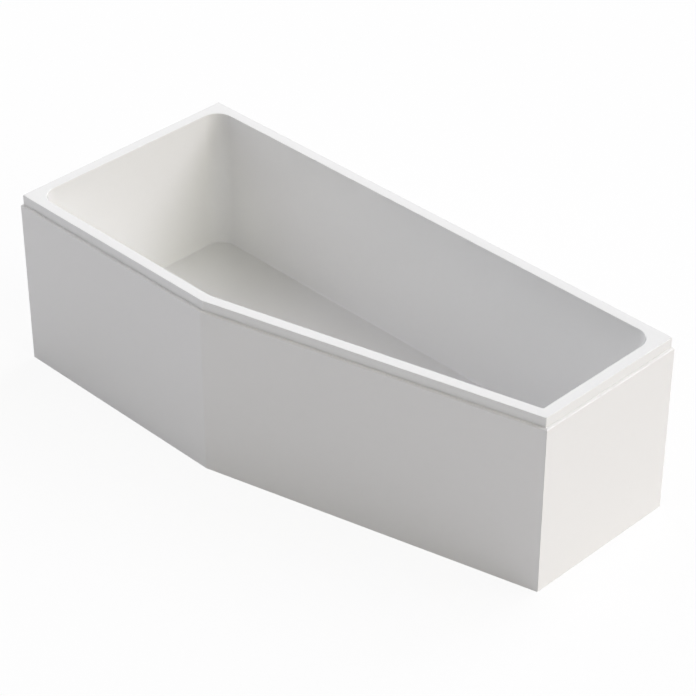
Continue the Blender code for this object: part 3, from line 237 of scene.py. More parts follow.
def make_mesh(name, shells):
    """A mesh of closed shells, with doubled points merged and its faces pointing out."""
    points, faces = join(shells)
    mesh = bpy.data.meshes.new(name)
    mesh.from_pydata(points.tolist(), [], faces)
    work = bmesh.new()
    work.from_mesh(mesh)
    bmesh.ops.remove_doubles(work, verts=work.verts, dist=1e-6)
    bmesh.ops.dissolve_degenerate(work, edges=work.edges, dist=1e-7)
    bmesh.ops.recalc_face_normals(work, faces=work.faces)
    work.to_mesh(mesh)
    work.free()
    return mesh


def new_object(name, data):
    item = bpy.data.objects.new(name, data)
    bpy.context.scene.collection.objects.link(item)
    return item


def smooth(item, sharp):
    """Smooth shading with edges over the angle left sharp, and normals weighted by face area."""
    mesh = item.data
    mesh.polygons.foreach_set("use_smooth", np.ones(len(mesh.polygons), bool))
    mesh.set_sharp_from_angle(angle=math.radians(sharp))
    weighted = item.modifiers.new("normals", "WEIGHTED_NORMAL")
    weighted.keep_sharp = True


def piece(name, shells, look, stands_for, body="root", sharp=40):
    """A piece that stands for CAD nodes and rides on their body; its look is (material, slot), and
    its slot is not used.
    """
    material, slot_name = look
    mesh = make_mesh(name, shells)
    mesh.materials.append(material)
    item = new_object(name, mesh)
    smooth(item, sharp)
    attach(item, body)
    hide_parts(*stands_for)
    return item


def drill(target, points, faces):
    """Cuts a closed shell's space out of a piece and keeps the result as its mesh."""
    cutter = new_object("drill", make_mesh("drill", [(points, faces)]))
    cut = target.modifiers.new("drill", "BOOLEAN")
    cut.operation, cut.solver, cut.object = "DIFFERENCE", "EXACT", cutter
    target.modifiers.move(len(target.modifiers) - 1, 0)
    bpy.context.view_layer.update()
    weighted = [modifier for modifier in target.modifiers if modifier.type == "WEIGHTED_NORMAL"]
    for modifier in weighted:
        modifier.show_viewport = False
    result = bpy.data.meshes.new_from_object(
        target.evaluated_get(bpy.context.evaluated_depsgraph_get()))
    for modifier in weighted:
        modifier.show_viewport = True
    target.modifiers.remove(cut)
    target.data = result
    bpy.data.objects.remove(cutter)


# Node trees

def node(tree, kind, inputs=(), **settings):
    """A shader node, its kind without the prefix; inputs take plain values or join sockets."""
    made = tree.nodes.new("ShaderNode" + kind)
    for key, value in settings.items():
        setattr(made, key, value)
    for key, value in dict(inputs).items():
        if isinstance(value, bpy.types.NodeSocket):
            tree.links.new(value, made.inputs[key])
        else:
            made.inputs[key].default_value = value
    return made


def maths(tree, operation, first, second):
    return node(tree, "Math", {0: first, 1: second}, operation=operation).outputs[0]


def times(tree, first, second):
    return maths(tree, "MULTIPLY", first, second)


def ramp(tree, value, low, high, to_low=0.0, to_high=1.0):
    """A value carried smoothly from one range to another."""
    return node(tree, "MapRange", {0: value, 1: low, 2: high, 3: to_low, 4: to_high},
                interpolation_type="SMOOTHSTEP").outputs[0]


def blend(tree, share, first, second):
    """A colour between two colours."""
    mix = node(tree, "Mix", {0: share, 6: first, 7: second}, data_type="RGBA")
    return mix.outputs[2]


def noise(tree, place, scale, detail=3.0, rough=0.5, output="Fac"):
    return node(tree, "TexNoise", {"Vector": place, "Scale": scale, "Detail": detail,
                                   "Roughness": rough}).outputs[output]


def stretched(tree, place, scale, turn=(0.0, 0.0, 0.0)):
    """Places turned and scaled, so that a texture draws out along the axis scaled least."""
    return node(tree, "Mapping", {"Vector": place, "Rotation": turn, "Scale": scale}).outputs[0]


def cells(tree, place, scale, channel=0, feature="F1"):
    """One channel of the colours of a texture of cells: a value of its own for each cell."""
    made = node(tree, "TexVoronoi", {"Vector": place, "Scale": scale}, feature=feature)
    return node(tree, "SeparateColor", {0: made.outputs["Color"]}).outputs[channel]


def new_group(name, inputs, outputs):
    """A shader node group with named sockets; returns its tree, inputs and output node."""
    group = bpy.data.node_groups.new(name, "ShaderNodeTree")
    for label, kind, value in inputs:
        socket = group.interface.new_socket(label, in_out="INPUT", socket_type=kind)
        if value is not None:
            socket.default_value = value
    for label, kind in outputs:
        group.interface.new_socket(label, in_out="OUTPUT", socket_type=kind)
    entry = group.nodes.new("NodeGroupInput")
    leave = group.nodes.new("NodeGroupOutput")
    return group, entry.outputs, leave.inputs


VALUE, COLOUR, PLACE = "NodeSocketFloat", "NodeSocketColor", "NodeSocketVector"


def make_moulded_group():
    """A moulded surface: slow waves and a fine skin in its height, clouds in gloss and dust."""
    group, given, out = new_group(
        "moulded_surface",
        (("Place", PLACE, None), ("Wave Scale", VALUE, 6.0), ("Skin Scale", VALUE, 900.0),
         ("Skin Share", VALUE, 0.1), ("Colour", COLOUR, (0.8, 0.8, 0.8, 1)),
         ("Dust Colour", COLOUR, (0.6, 0.6, 0.6, 1)), ("Dust", VALUE, 0.1),
         ("Rough Low", VALUE, 0.2), ("Rough High", VALUE, 0.3)),
        (("Colour", COLOUR), ("Roughness", VALUE), ("Height", VALUE)))
    place = given["Place"]
    wave = noise(group, place, given["Wave Scale"], 2.0)
    skin = noise(group, place, given["Skin Scale"], 2.0)
    cloud = noise(group, place, times(group, given["Wave Scale"], 2.7), 5.0, 0.6)
    speck = noise(group, place, times(group, given["Skin Scale"], 0.11), 4.0, 0.65)
    mask = times(group, ramp(group, speck, 0.45, 0.8), given["Dust"])
    group.links.new(blend(group, mask, given["Colour"], given["Dust Colour"]), out["Colour"])
    span = node(group, "MapRange", {0: cloud, 1: 0.3, 2: 0.7, 3: given["Rough Low"],
                                    4: given["Rough High"]}).outputs[0]
    group.links.new(span, out["Roughness"])
    fine = times(group, skin, given["Skin Share"])
    group.links.new(maths(group, "ADD", wave, fine), out["Height"])
    return group


MOULDED = make_moulded_group()


def start_material(name, **values):
    """A material, its tree and shader, and the object's coordinates; values go on the shader."""
    material = bpy.data.materials.new(name)
    material.use_nodes = True
    tree = material.node_tree
    shader = tree.nodes["Principled BSDF"]
    for key, value in values.items():
        shader.inputs[key.replace("_", " ")].default_value = value
    place = node(tree, "TexCoord").outputs["Object"]
    return material, tree, shader, place


def finish(tree, shader, colour, rough, height, distance):
    """Joins a colour, a roughness and the bumps of a height to the shader."""
    bump = node(tree, "Bump", {"Height": height, "Distance": distance, "Strength": 1.0})
    for key, value in (("Base Color", colour), ("Roughness", rough),
                       ("Normal", bump.outputs["Normal"])):
        tree.links.new(value, shader.inputs[key])


def moulded(name, slot_name, colour, dust, roughs, wave, skin, skin_share, depth, dusty, **values):
    """The look of a moulded plastic, acrylic or rubber: its material and its slot."""
    material, tree, shader, place = start_material(name, **values)
    out = node(tree, "Group", {
        "Place": place, "Wave Scale": wave, "Skin Scale": skin, "Skin Share": skin_share,
        "Colour": (*colour, 1), "Dust Colour": (*dust, 1), "Dust": dusty,
        "Rough Low": roughs[0], "Rough High": roughs[1]}, node_tree=MOULDED).outputs
    finish(tree, shader, out["Colour"], out["Roughness"], out["Height"], depth)
    return material, slot_name


def make_glass_fibre():
    """The sprayed underside of the tub: chopped strands in resin, seen as crossing streaks."""
    material, tree, shader, place = start_material("glass_fibre", Coat_Weight=0.15)
    strands = None
    for turn in (0.3, 1.4, 2.5):
        drawn = stretched(tree, place, (9.0, 150.0, 150.0), (turn, turn * 1.7, turn))
        streak = ramp(tree, noise(tree, drawn, 1.0, 2.0), 0.54, 0.66)
        strands = streak if strands is None else maths(tree, "MAXIMUM", strands, streak)
    pool = noise(tree, place, 14.0, 5.0, 0.6)
    base = blend(tree, ramp(tree, pool, 0.35, 0.65), (0.60, 0.57, 0.47, 1), (0.72, 0.69, 0.60, 1))
    colour = blend(tree, times(tree, strands, 0.55), base, (0.84, 0.82, 0.76, 1))
    height = maths(tree, "ADD", times(tree, strands, 0.35), pool)
    finish(tree, shader, colour, ramp(tree, pool, 0.3, 0.7, 0.34, 0.62), height, 0.0016)
    return material


def make_chipboard():
    """Pressed flakes: cells of several sizes in browns, with fine dark pits."""
    material, tree, shader, place = start_material("chipboard", Specular_IOR_Level=0.25)
    flat = stretched(tree, place, (1.0, 1.6, 3.0))
    shift = node(tree, "VectorMath", {0: noise(tree, place, 60.0, output="Color"), 3: 0.004},
                 operation="SCALE").outputs[0]
    bent = node(tree, "VectorMath", {0: flat, 1: shift}, operation="ADD").outputs[0]
    tone, tint = cells(tree, bent, 150.0), cells(tree, bent, 420.0, 1)
    both = maths(tree, "ADD", times(tree, tone, 0.6), times(tree, tint, 0.4))
    brown = blend(tree, both, (0.34, 0.23, 0.12, 1), (0.68, 0.53, 0.33, 1))
    pit = ramp(tree, noise(tree, place, 700.0, 3.0), 0.62, 0.72)
    finish(tree, shader, blend(tree, times(tree, pit, 0.6), brown, (0.16, 0.10, 0.05, 1)),
           ramp(tree, both, 0.0, 1.0, 0.68, 0.86), maths(tree, "SUBTRACT", both, pit), 0.0004)
    return material


def make_softwood(name, direction):
    """Sawn timber: growth rings along the batten, drawn out by noise, with fine saw marks."""
    material, tree, shader, place = start_material(name, Specular_IOR_Level=0.3)
    turn = math.atan2(direction[1], direction[0])
    level = stretched(tree, place, (1.0, 1.0, 1.0), (0.0, 0.0, -turn))
    along = stretched(tree, level, (1.2, 60.0, 60.0))
    wander = noise(tree, along, 1.0, 3.0)
    ring = node(tree, "TexWave", {"Vector": along, "Scale": 1.1, "Distortion": 5.0,
                                  "Detail": 2.0, "Detail Scale": 1.0},
                wave_type="RINGS", rings_direction="X").outputs["Fac"]
    pale = blend(tree, wander, (0.66, 0.49, 0.29, 1), (0.78, 0.62, 0.41, 1))
    dark = times(tree, ramp(tree, ring, 0.35, 0.95), 0.55)
    saw = node(tree, "TexWave", {"Vector": level, "Scale": 90.0, "Distortion": 1.5},
               bands_direction="X").outputs["Fac"]
    finish(tree, shader, blend(tree, dark, pale, (0.46, 0.28, 0.13, 1)),
           ramp(tree, wander, 0.2, 0.8, 0.62, 0.8),
           maths(tree, "ADD", times(tree, saw, 0.4), ring), 0.0003)
    return material


def make_zinc(name, slot_name, colour, spangle, roughs):
    """Zinc plate: soft crystals that differ in gloss and shade, a drawn grain and faint bloom."""
    material, tree, shader, place = start_material(name, Metallic=0.92)
    shade = cells(tree, place, spangle, feature="SMOOTH_F1")
    bloom = ramp(tree, noise(tree, place, spangle * 0.35, 5.0, 0.6), 0.5, 0.75)
    grain = noise(tree, stretched(tree, place, (40.0, 1500.0, 1500.0)), 1.0, 2.0)
    darker = tuple(value * 0.82 for value in colour)
    metal = blend(tree, shade, (*darker, 1), (*colour, 1))
    rough = ramp(tree, shade, 0.0, 1.0, *roughs)
    finish(tree, shader, blend(tree, times(tree, bloom, 0.25), metal, (0.70, 0.70, 0.68, 1)),
           maths(tree, "ADD", rough, times(tree, bloom, 0.1)),
           maths(tree, "ADD", times(tree, grain, 0.3), shade), 0.00003)
    return material, slot_name


def make_chrome():
    """Polished chrome: a bright metal with water spots and faint wiping marks in its gloss."""
    material, tree, shader, place = start_material("chrome_plate", Metallic=1.0)
    drop = node(tree, "TexVoronoi", {"Vector": place, "Scale": 260.0}).outputs[0]
    spot = ramp(tree, drop, 0.10, 0.16, 1.0, 0.0)
    wipe = noise(tree, stretched(tree, place, (30.0, 500.0, 500.0), (0.4, 0.2, 0.9)), 1.0, 3.0)
    gloss = ramp(tree, wipe, 0.35, 0.75, 0.05, 0.11)
    colour = blend(tree, times(tree, spot, 0.25), (0.80, 0.81, 0.82, 1), (0.70, 0.71, 0.71, 1))
    finish(tree, shader, colour, maths(tree, "ADD", gloss, times(tree, spot, 0.12)), wipe,
           0.000008)
    return material, "chrome_trim"


# Looks: a material's name, its slot's name, its colour and its dust's, the roughness between, the
# scale of the waves, the scale and share of the skin, the bump's depth and the share of dust
TUB = moulded("tub_acrylic", "tub_acrylic", (0.86, 0.86, 0.85), (0.80, 0.80, 0.785), (0.13, 0.19),
              5.0, 350.0, 0.002, 0.0006, 0.10, Coat_Weight=0.35, Coat_Roughness=0.08)
PANEL = moulded("panel_acrylic", "panel_acrylic", (0.87, 0.865, 0.855), (0.81, 0.805, 0.79),
                (0.14, 0.19), 3.0, 350.0, 0.003, 0.0006, 0.12)
FITTING = moulded("white_plastic", "fitting_plastic", (0.78, 0.78, 0.76), (0.66, 0.65, 0.62),
                  (0.34, 0.46), 60.0, 1600.0, 0.5, 0.00008, 0.3)
SOLE = moulded("dark_plastic", "foot_plastic", (0.045, 0.045, 0.05), (0.12, 0.12, 0.115),
               (0.42, 0.56), 80.0, 1800.0, 0.8, 0.00010, 0.35)
HOSE = moulded("hose_plastic", "hose_plastic", (0.09, 0.09, 0.10), (0.18, 0.18, 0.175),
               (0.34, 0.48), 90.0, 1500.0, 0.6, 0.00008, 0.35)
CABLE = moulded("cable_sheath", "cable_sheath", (0.05, 0.05, 0.05), (0.13, 0.13, 0.125),
                (0.38, 0.5), 150.0, 2500.0, 0.5, 0.00005, 0.3)
SEAL = moulded("black_rubber", "seal_rubber", (0.035, 0.035, 0.035), (0.11, 0.11, 0.105),
               (0.62, 0.8), 90.0, 2600.0, 1.0, 0.00010, 0.4, Specular_IOR_Level=0.3)
GLASS_FIBRE = make_glass_fibre()
RAIL = make_zinc("rail_zinc", "rail_steel", (0.60, 0.61, 0.62), 90.0, (0.30, 0.46))
FIXING = make_zinc("fixing_zinc", "fixing_steel", (0.66, 0.66, 0.62), 400.0, (0.24, 0.38))
TRIM = make_chrome()


# The tub

def inset_corners(inset):
    """The corners after both sides of each move in: corner + (n1 + n2) inset / (1 + n1.n2)."""
    before = np.roll(INWARD, 1, 0)
    share = inset / (1 + (before * INWARD).sum(1))
    return CORNERS + (before + INWARD) * share[:, None]


def corner_arcs(inset, radii):
    """Arcs at the five corners of the outline moved in by an inset, each from its first tangent."""
    centres = inset_corners(inset + np.asarray(radii))
    before = -np.roll(INWARD, 1, 0)
    start = np.arctan2(before[:, 1], before[:, 0])
    turn = np.arccos((before * -INWARD).sum(1))
    arcs = []
    for index, steps in enumerate(ARC_STEPS):
        angle = start[index] + turn[index] * np.linspace(0, 1, steps + 1)
        arcs.append(centres[index] + radii[index] * spokes(angle))
    return arcs


def ray_shares(start, end):
    """Where evenly turned rays from the waste cross a side, as shares of its length."""
    first, last = start - WASTE, end - WASTE
    angles = np.unwrap((math.atan2(first[1], first[0]), math.atan2(last[1], last[0])))
    count = max(3, math.ceil((angles[1] - angles[0]) / RAY_STEP))
    ray, run = spokes(np.linspace(*angles, count + 1)[1:-1]), end - start
    across = run[0] * ray[:, 1] - run[1] * ray[:, 0]
    return -(first[0] * ray[:, 1] - first[1] * ray[:, 0]) / across


FLOOR_ARCS = corner_arcs(FLOOR_EDGE, BASIN_RADII)
SHARES = [ray_shares(FLOOR_ARCS[side][-1], FLOOR_ARCS[(side + 1) % 5][0]) for side in range(5)]


def outline(inset, radii):
    """The outline moved in, as a ring: an arc at each corner and points by shares on each side."""
    arcs = corner_arcs(inset, np.broadcast_to(radii, 5))
    parts = []
    for side, corner in enumerate(arcs):
        start, end = corner[-1], arcs[(side + 1) % 5][0]
        parts += [corner, start + (end - start) * SHARES[side][:, None]]
    return np.concatenate(parts)


def floor_height(x, below=0.0):
    """The basin floor's plane: it falls evenly from the head to the waste."""
    return WASTE_FLOOR - below + (WASTE[0] - x) * FLOOR_SLOPE


def level_ring(inset, radii, height):
    ring = outline(inset, radii)
    return np.column_stack((ring, np.full(len(ring), height)))


def floor_ring(inset, radii, rise):
    """A ring at a height over the sloping floor."""
    ring = outline(inset, radii)
    return np.column_stack((ring, floor_height(ring[:, 0]) + rise))


def arc(centre, radius, start, stop, steps):
    """Points of an arc in the section, as (inset, height), between two angles in degrees."""
    return np.array(centre) + radius * spokes(np.radians(np.linspace(start, stop, steps + 1)))


def rings_along(ring, radii, *bend):
    """Rings at the points of an arc of the section; ring is level_ring or floor_ring."""
    return [ring(inset, radii, height) for inset, height in arc(*bend)]


def dish_rings(rays, below, levels):
    """Rings about the waste: radius by radius, the floor's plane sinks into the level seat.

    The share of the seat rises as half a cosine from the dish's edge to the seat's edge.
    """
    rings = []
    for radius, drop in levels:
        flat = WASTE + rays * radius
        share = np.clip((DISH_RADIUS - radius) / (DISH_RADIUS - SEAT_RADIUS), 0, 1)
        share = (1 - math.cos(math.pi * share)) / 2
        height = (1 - share) * floor_height(flat[:, 0], below) + share * (SEAT_HEIGHT - below)
        rings.append(np.column_stack((flat, height - drop)))
    return rings


def make_tub():
    """The moulding as one closed grid: up the skirt, over the rim, down the wall, over the floor
    into the waste hole, and back under the floor, up the wall's outside and inside the skirt."""
    rim, edge = RIM_CORNER_RADIUS, SKIRT_EDGE
    crest = RIM_HEIGHT - RIM_ROUND
    seen = rings_along(level_ring, rim, (edge, SKIRT_BOTTOM + edge), edge, 270, 180, 4)
    seen += rings_along(level_ring, rim, (RIM_ROUND, crest), RIM_ROUND, 180, 90, 8)
    seen += [level_ring(inset, BASIN_RADII + RIM_BREADTH - inset, height)
             for inset, height in arc((RIM_BREADTH - RIM_ROUND, crest), RIM_ROUND, 90, 0, 8)]
    bend = (FLOOR_EDGE, FLOOR_ROUND)
    seen += rings_along(floor_ring, BASIN_RADII, bend, FLOOR_ROUND, 180, 270, 8)
    rays = unit(seen[-1][:, :2] - WASTE)
    dish = dish_rings(rays, 0, [(radius, 0) for radius in np.linspace(DISH_RADIUS, SEAT_RADIUS, 9)])
    seen += [seen[-1] + (dish[0] - seen[-1]) * share for share in (0.25, 0.5, 0.75)] + dish
    seen += dish_rings(rays, 0, arc((HOLE_RADIUS + edge, edge), edge, 270, 180, 3))
    levels = [HOLE_RADIUS, *np.linspace(SEAT_RADIUS, DISH_RADIUS, 5)]
    hidden = dish_rings(rays, SHELL, [(radius, 0) for radius in levels])
    wall = BASIN_RADII + SHELL
    foot = rings_along(floor_ring, wall, bend, FLOOR_ROUND + SHELL, 270, 180, 6)
    hidden += [hidden[-1] + (foot[0] - hidden[-1]) * share for share in (0.33, 0.67)] + foot
    under = RIM_HEIGHT - SHELL
    hidden += [level_ring(RIM_BREADTH - SHELL, wall, under), level_ring(SHELL, rim, under)]
    hidden += rings_along(level_ring, rim, (SHELL - edge, SKIRT_BOTTOM + edge), edge, 0, -90, 3)
    grid = np.stack(seen + hidden)
    tub = piece("tub", [shell(grid, True)], TUB, ["tub_shell"], sharp=50)
    tub.data.materials.append(GLASS_FIBRE)
    hole = turned([(HOLE_RADIUS, 0.02), (HOLE_RADIUS, -0.02)], OVERFLOW)
    drill(tub, *hole)
    paint_underside(tub.data)


def paint_underside(mesh):
    """Gives the glass fibre to every face that looks out of the basin or lies under the rim."""
    count, hair = len(mesh.polygons), 0.0002
    middle, normal = np.empty(count * 3), np.empty(count * 3)
    mesh.polygons.foreach_get("center", middle)
    mesh.polygons.foreach_get("normal", normal)
    middle, normal = middle.reshape(-1, 3), normal.reshape(-1, 3)
    depths = ((middle[:, None, :2] - CORNERS) * INWARD).sum(-1)
    depth, nearest = depths.min(1), depths.argmin(1)
    outward = -(normal[:, :2] * INWARD[nearest]).sum(1)
    inner, upright = depth > SHELL - hair, abs(normal[:, 2]) < 0.5
    below_rim = (middle[:, 2] < RIM_HEIGHT - SHELL + hair / 2) & (depth > RIM_BREADTH / 2)
    wall_back = upright & below_rim & (outward > 0.3)
    skirt_back = inner & (depth < SHELL + hair) & (outward < -0.3)
    hidden = wall_back | skirt_back | inner & (normal[:, 2] < -0.2)
    mesh.polygons.foreach_set("material_index", hidden.astype(np.int32))


OVERFLOW = Matrix.Translation(OVERFLOW_PLACE) @ Matrix.Rotation(WALL_LEAN - math.pi / 2, 4, "Y")
UPRIGHT = Matrix.Translation((*WASTE, 0))
make_tub()


# The panels

def sheet_section():
    """The panel's section as (inset, height): flange, face, ledge and hook.

    Its cut edges have small rounds, and the bend from the face into the ledge a larger one.
    """
    face, top = -PANEL_PROUD, LEDGE_HEIGHT
    flange = face + SHEET_RETURN
    corners = ((face, 0), (face, top), (HOOK_START, top), (HOOK_START, top + HOOK_HEIGHT),
               (HOOK_END, top + HOOK_HEIGHT), (HOOK_END, top - SHEET), (face + SHEET, top - SHEET),
               (face + SHEET, SHEET), (flange, SHEET), (flange, 0))
    radii = np.full(len(corners), SHEET_EDGE)
    radii[1] = SHEET_BEND
    return rounded(corners, radii, 6)


def mitre_line(inset, side, gap):
    """Where the sides on both sides of a corner meet at an inset, moved along one by a gap."""
    before, after = INWARD[side - 1], INWARD[side]
    return CORNERS[side] + (before + after) * (inset / (1 + before @ after))[:, None] + gap


def lifted(flat, height):
    """Points in plan, given the heights of the section and ordered section by section."""
    height = np.broadcast_to(height[:, None, None], flat.shape[:2] + (1,))
    return np.concatenate((flat, height), -1).transpose(1, 0, 2)


def front_grid(section):
    """The section carried along the straight front, round the kink and on to the mitre.

    At the kink an inset's arc has the bend's radius less the inset, and never less than a hair.
    """
    inset, height = section.T
    radius = np.maximum(KINK_BEND - (inset + PANEL_PROUD), 0.0004)
    start = CORNERS[FRONT] + INWARD[FRONT] * inset[:, None]
    end = mitre_line(inset, FOOT, -ALONG[SLANT] * MITRE_GAP / 2)
    centre = mitre_line(inset + radius, SLANT, 0)
    before, after = -INWARD[FRONT], -INWARD[SLANT]
    first = math.atan2(before[1], before[0])
    angle = first + np.linspace(0, 1, 9) * math.acos(before @ after)
    bend = centre[:, None] + radius[:, None, None] * spokes(angle)
    shares = np.linspace(0, 1, 7)[1:-1, None]
    straight = start[:, None] + (bend[:, :1] - start[:, None]) * shares
    slant = bend[:, -1:] + (end[:, None] - bend[:, -1:]) * shares
    return lifted(np.concatenate((start[:, None], straight, bend, slant, end[:, None]), 1), height)


def end_grid(section):
    """The section carried from the mitre along the foot end to the back wall."""
    inset, height = section.T
    start = mitre_line(inset, FOOT, ALONG[FOOT] * MITRE_GAP / 2)
    end = CORNERS[BACK] + INWARD[FOOT] * inset[:, None]
    return lifted(start[:, None] + (end - start)[:, None] * np.linspace(0, 1, 8)[:, None], height)


def beside(side, along, section):
    """A section of (inset, height) carried along a side, between distances from its start."""
    flat = (CORNERS[side] + INWARD[side] * section[None, :, :1]
            + ALONG[side] * np.array(along)[:, None, None])
    height = np.broadcast_to(section[None, :, 1:], flat.shape[:2] + (1,))
    return shell(np.concatenate((flat, height), -1))


def block(side, along, inset, height):
    """A box beside a side, given by its limits along it, inward from it and in height."""
    return beside(side, along, oblong(*inset, *height))


def make_panels():
    """Both sheets; drilled boxes cut the hooks short at the two walls."""
    section = sheet_section()
    hook = (HOOK_START - 0.001, HOOK_END + 0.001)
    rise = (LEDGE_HEIGHT, LEDGE_HEIGHT + HOOK_HEIGHT + 0.004)
    front = piece("front_sheet", [shell(front_grid(section))], PANEL, ["front_panel"])
    drill(front, *block(FRONT, (-0.01, HOOK_SHORT), hook, rise))
    end = piece("end_sheet", [shell(end_grid(section))], PANEL, ["end_panel"])
    length = SIDE_LENGTHS[FOOT]
    drill(end, *block(FOOT, (length - HOOK_SHORT, length + 0.01), hook, rise))


make_panels()


# Materials on the CAD nodes that stay

def dress(name, material, bevel):
    """Gives a CAD node a material, and modifiers that merge its faces and soften its edges."""
    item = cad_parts[name]
    item.data.materials.clear()
    item.data.materials.append(material)
    item.modifiers.new("weld", "WELD").merge_threshold = 1e-6
    edges = item.modifiers.new("edges", "BEVEL")
    edges.width, edges.segments, edges.limit_method = bevel, 2, "ANGLE"
    edges.angle_limit = math.radians(35)


dress("floor_board", make_chipboard(), 0.0006)
for name, direction in zip(SIDES, ALONG):
    dress("rim_batten_" + name, make_softwood("softwood_" + name, direction), 0.0008)


# Overflow, about the foot wall's normal

SPOKES, SPOKE_WIDTH, SPOKE_DEPTH, HUB_RADIUS = 3, 0.004, 0.003, 0.009
SHAFT_RADIUS, SHAFT_END, FIT_GAP = 0.005, -0.017, 0.0003
KNOB_RADIUS, KNOB_BACK, KNOB_FRONT, KNOB_WALL, KNOB_DISH = 0.036, 0.0073, 0.0213, 0.003, 0.0012
SCALLOPS, SCALLOP_RADIUS, SCALLOP_DISTANCE, SCALLOP_LIP = 6, 0.012, 0.0465, 0.0003
ELBOW_ROOT = OVERFLOW @ Vector((0, 0, -0.0226))
ELBOW_END = ELBOW_ROOT.z - 0.058
CABLE_ASIDE = 0.022
SPIGOT_RADIUS, SPIGOT_BORE, SPIGOT_REACH = 0.009, 0.007, 0.060
BOSS_RADIUS, BOSS_BORE, BOSS_REACH, CABLE_RADIUS = 0.0045, 0.0012, 0.040, 0.0025
TAIL_RADIUS, TAIL_BORE = 0.0245, 0.0215
OVERFLOW_FLANGE, WASTE_FLANGE, BODY_FLANGE, RIBS, RIB_DEPTH = 0.035, 0.036, 0.040, 36, 0.0008


def scalloped(radius, height, angle):
    """The knob's rim, pulled in by circles that stand beside it.

    A circle's near side lies at D cos t - sqrt(r^2 - D^2 sin^2 t), t being the angle from its
    middle. The radius is the soft least of that and its own: -k log(exp(-a / k) + exp(-b / k)).
    """
    turn = angle % (math.tau / SCALLOPS) - math.pi / SCALLOPS
    reach = SCALLOP_RADIUS ** 2 - (SCALLOP_DISTANCE * np.sin(turn)) ** 2
    near = np.where(reach > 0, SCALLOP_DISTANCE * np.cos(turn) - np.sqrt(np.maximum(reach, 0)), 1)
    return radius - SCALLOP_LIP * np.logaddexp(0, (radius - near) / SCALLOP_LIP), height


def ribbed(count, depth, inside):
    """Ribs round an edge: beyond a radius, it sinks by depth * sin(count * angle / 2) ^ 8."""
    def shape(radius, height, angle):
        groove = depth * np.sin(angle * count / 2) ** 8
        return radius - np.where(radius > inside, groove, 0), height
    return shape


def spider(matrix, outer, bore, top):
    """A hub on spokes: a ring about the axis, and bars from it to the ring outside."""
    low = top - SPOKE_DEPTH
    hub = turned(rounded(oblong(HUB_RADIUS, bore, top, low), 0.0003), matrix, 48, True)
    section = rounded(oblong(-SPOKE_WIDTH / 2, SPOKE_WIDTH / 2, low, top), 0.0004, 3)
    bar = np.stack([np.column_stack((np.full(len(section), x), section))
                    for x in (HUB_RADIUS - 0.001, outer)])
    return [hub] + [shell(placed(bar, matrix @ Matrix.Rotation(math.tau * number / SPOKES, 4, "Z")))
                    for number in range(SPOKES)]


def spout(place, start, end, radius, bore):
    """A short open pipe along the place's axis, with a rounded mouth at its end."""
    section = rounded(oblong(radius, bore, start, end), (0, 0.0006, 0.0004, 0), 4)
    return turned(section, place, 48, True)


def make_overflow():
    corners = ((OVERFLOW_FLANGE, 0.0043), (OVERFLOW_FLANGE, FIT_GAP), (TAIL_RADIUS, FIT_GAP),
               (TAIL_RADIUS, -0.017), (TAIL_BORE, -0.017), (TAIL_BORE, 0.0043))
    ring = turned(rounded(corners, (0.0016, 0.0003, 0.0003, 0.0004, 0.0004, 0.0008), 5), OVERFLOW,
                  ring=True)
    piece("overflow_ring", [ring] + spider(OVERFLOW, 0.0225, SHAFT_RADIUS + FIT_GAP, 0.004), TRIM,
          ["overflow_flange"])
    front, inner, under = KNOB_FRONT, KNOB_RADIUS - KNOB_WALL, KNOB_FRONT - KNOB_WALL
    corners = ((0, front - KNOB_DISH), (0.014, front - KNOB_DISH), (0.027, front),
               (KNOB_RADIUS, front), (KNOB_RADIUS, KNOB_BACK), (inner, KNOB_BACK), (inner, under),
               (SHAFT_RADIUS, under), (SHAFT_RADIUS, SHAFT_END), (0, SHAFT_END))
    radii = (0, 0.030, 0.012, 0.003, 0.0010, 0.0008, 0.001, 0.001, 0.0006, 0)
    knob = turned(rounded(corners, radii, 6, False), OVERFLOW, 288, shape_of=scalloped)
    piece("knob", [knob], TRIM, ["overflow_knob"], "overflow_control", sharp=50)
    corners = ((0, -0.0301), (0.0285, -0.0301), (0.0285, -0.0206), (0.0248, -0.0206),
               (0.0248, -0.0086), (0.037, -0.0086), (0.037, -0.0126), (0.031, -0.0126),
               (0.031, -0.0326), (0, -0.0326))
    radii = (0, 0.002, 0.0005, 0.0005, 0.0005, 0.0008, 0.0006, 0.0015, 0.008, 0)
    cup = turned(rounded(corners, radii, 6, False), OVERFLOW, 192,
                 shape_of=ribbed(RIBS, RIB_DEPTH, 0.0365))
    down = Matrix.Translation((ELBOW_ROOT.x, ELBOW_ROOT.y, 0))
    beside_it = down @ Matrix.Translation((0, CABLE_ASIDE, 0))
    piece("elbow", [cup, spout(down, ELBOW_ROOT.z - 0.0275, ELBOW_END, SPIGOT_RADIUS, SPIGOT_BORE),
                    spout(beside_it, ELBOW_ROOT.z - 0.0155, ELBOW_END, BOSS_RADIUS, BOSS_BORE)],
          FITTING, ["overflow_elbow"])


# Waste, plug and trap, about the upright axis of the waste hole

NECK_LEVEL = 0.0739
PLUG_RADIUS, PLUG_TOP, PLUG_CROWN, PLUG_UNDER = 0.029, 0.1051, 0.002, 0.1021
STEM_RADIUS, STEM_END = 0.004, 0.0554
TRAP_RADIUS, TRAP_BORE, TRAP_TOP, TRAP_LOW, TRAP_HIGH = 0.018, 0.0155, 0.0536, 0.024, 0.074
TRAP_BACK, OUTLET_START, OUTLET_END = 0.048, 0.098, 0.3295
NUT_BORE, NUT_WALL, NUT_LENGTH = 0.0183, 0.005, 0.012
COLLAR_RISE, COLLAR_FROM_END, COLLAR_WIDTH = 0.0018, 0.0095, 0.0032


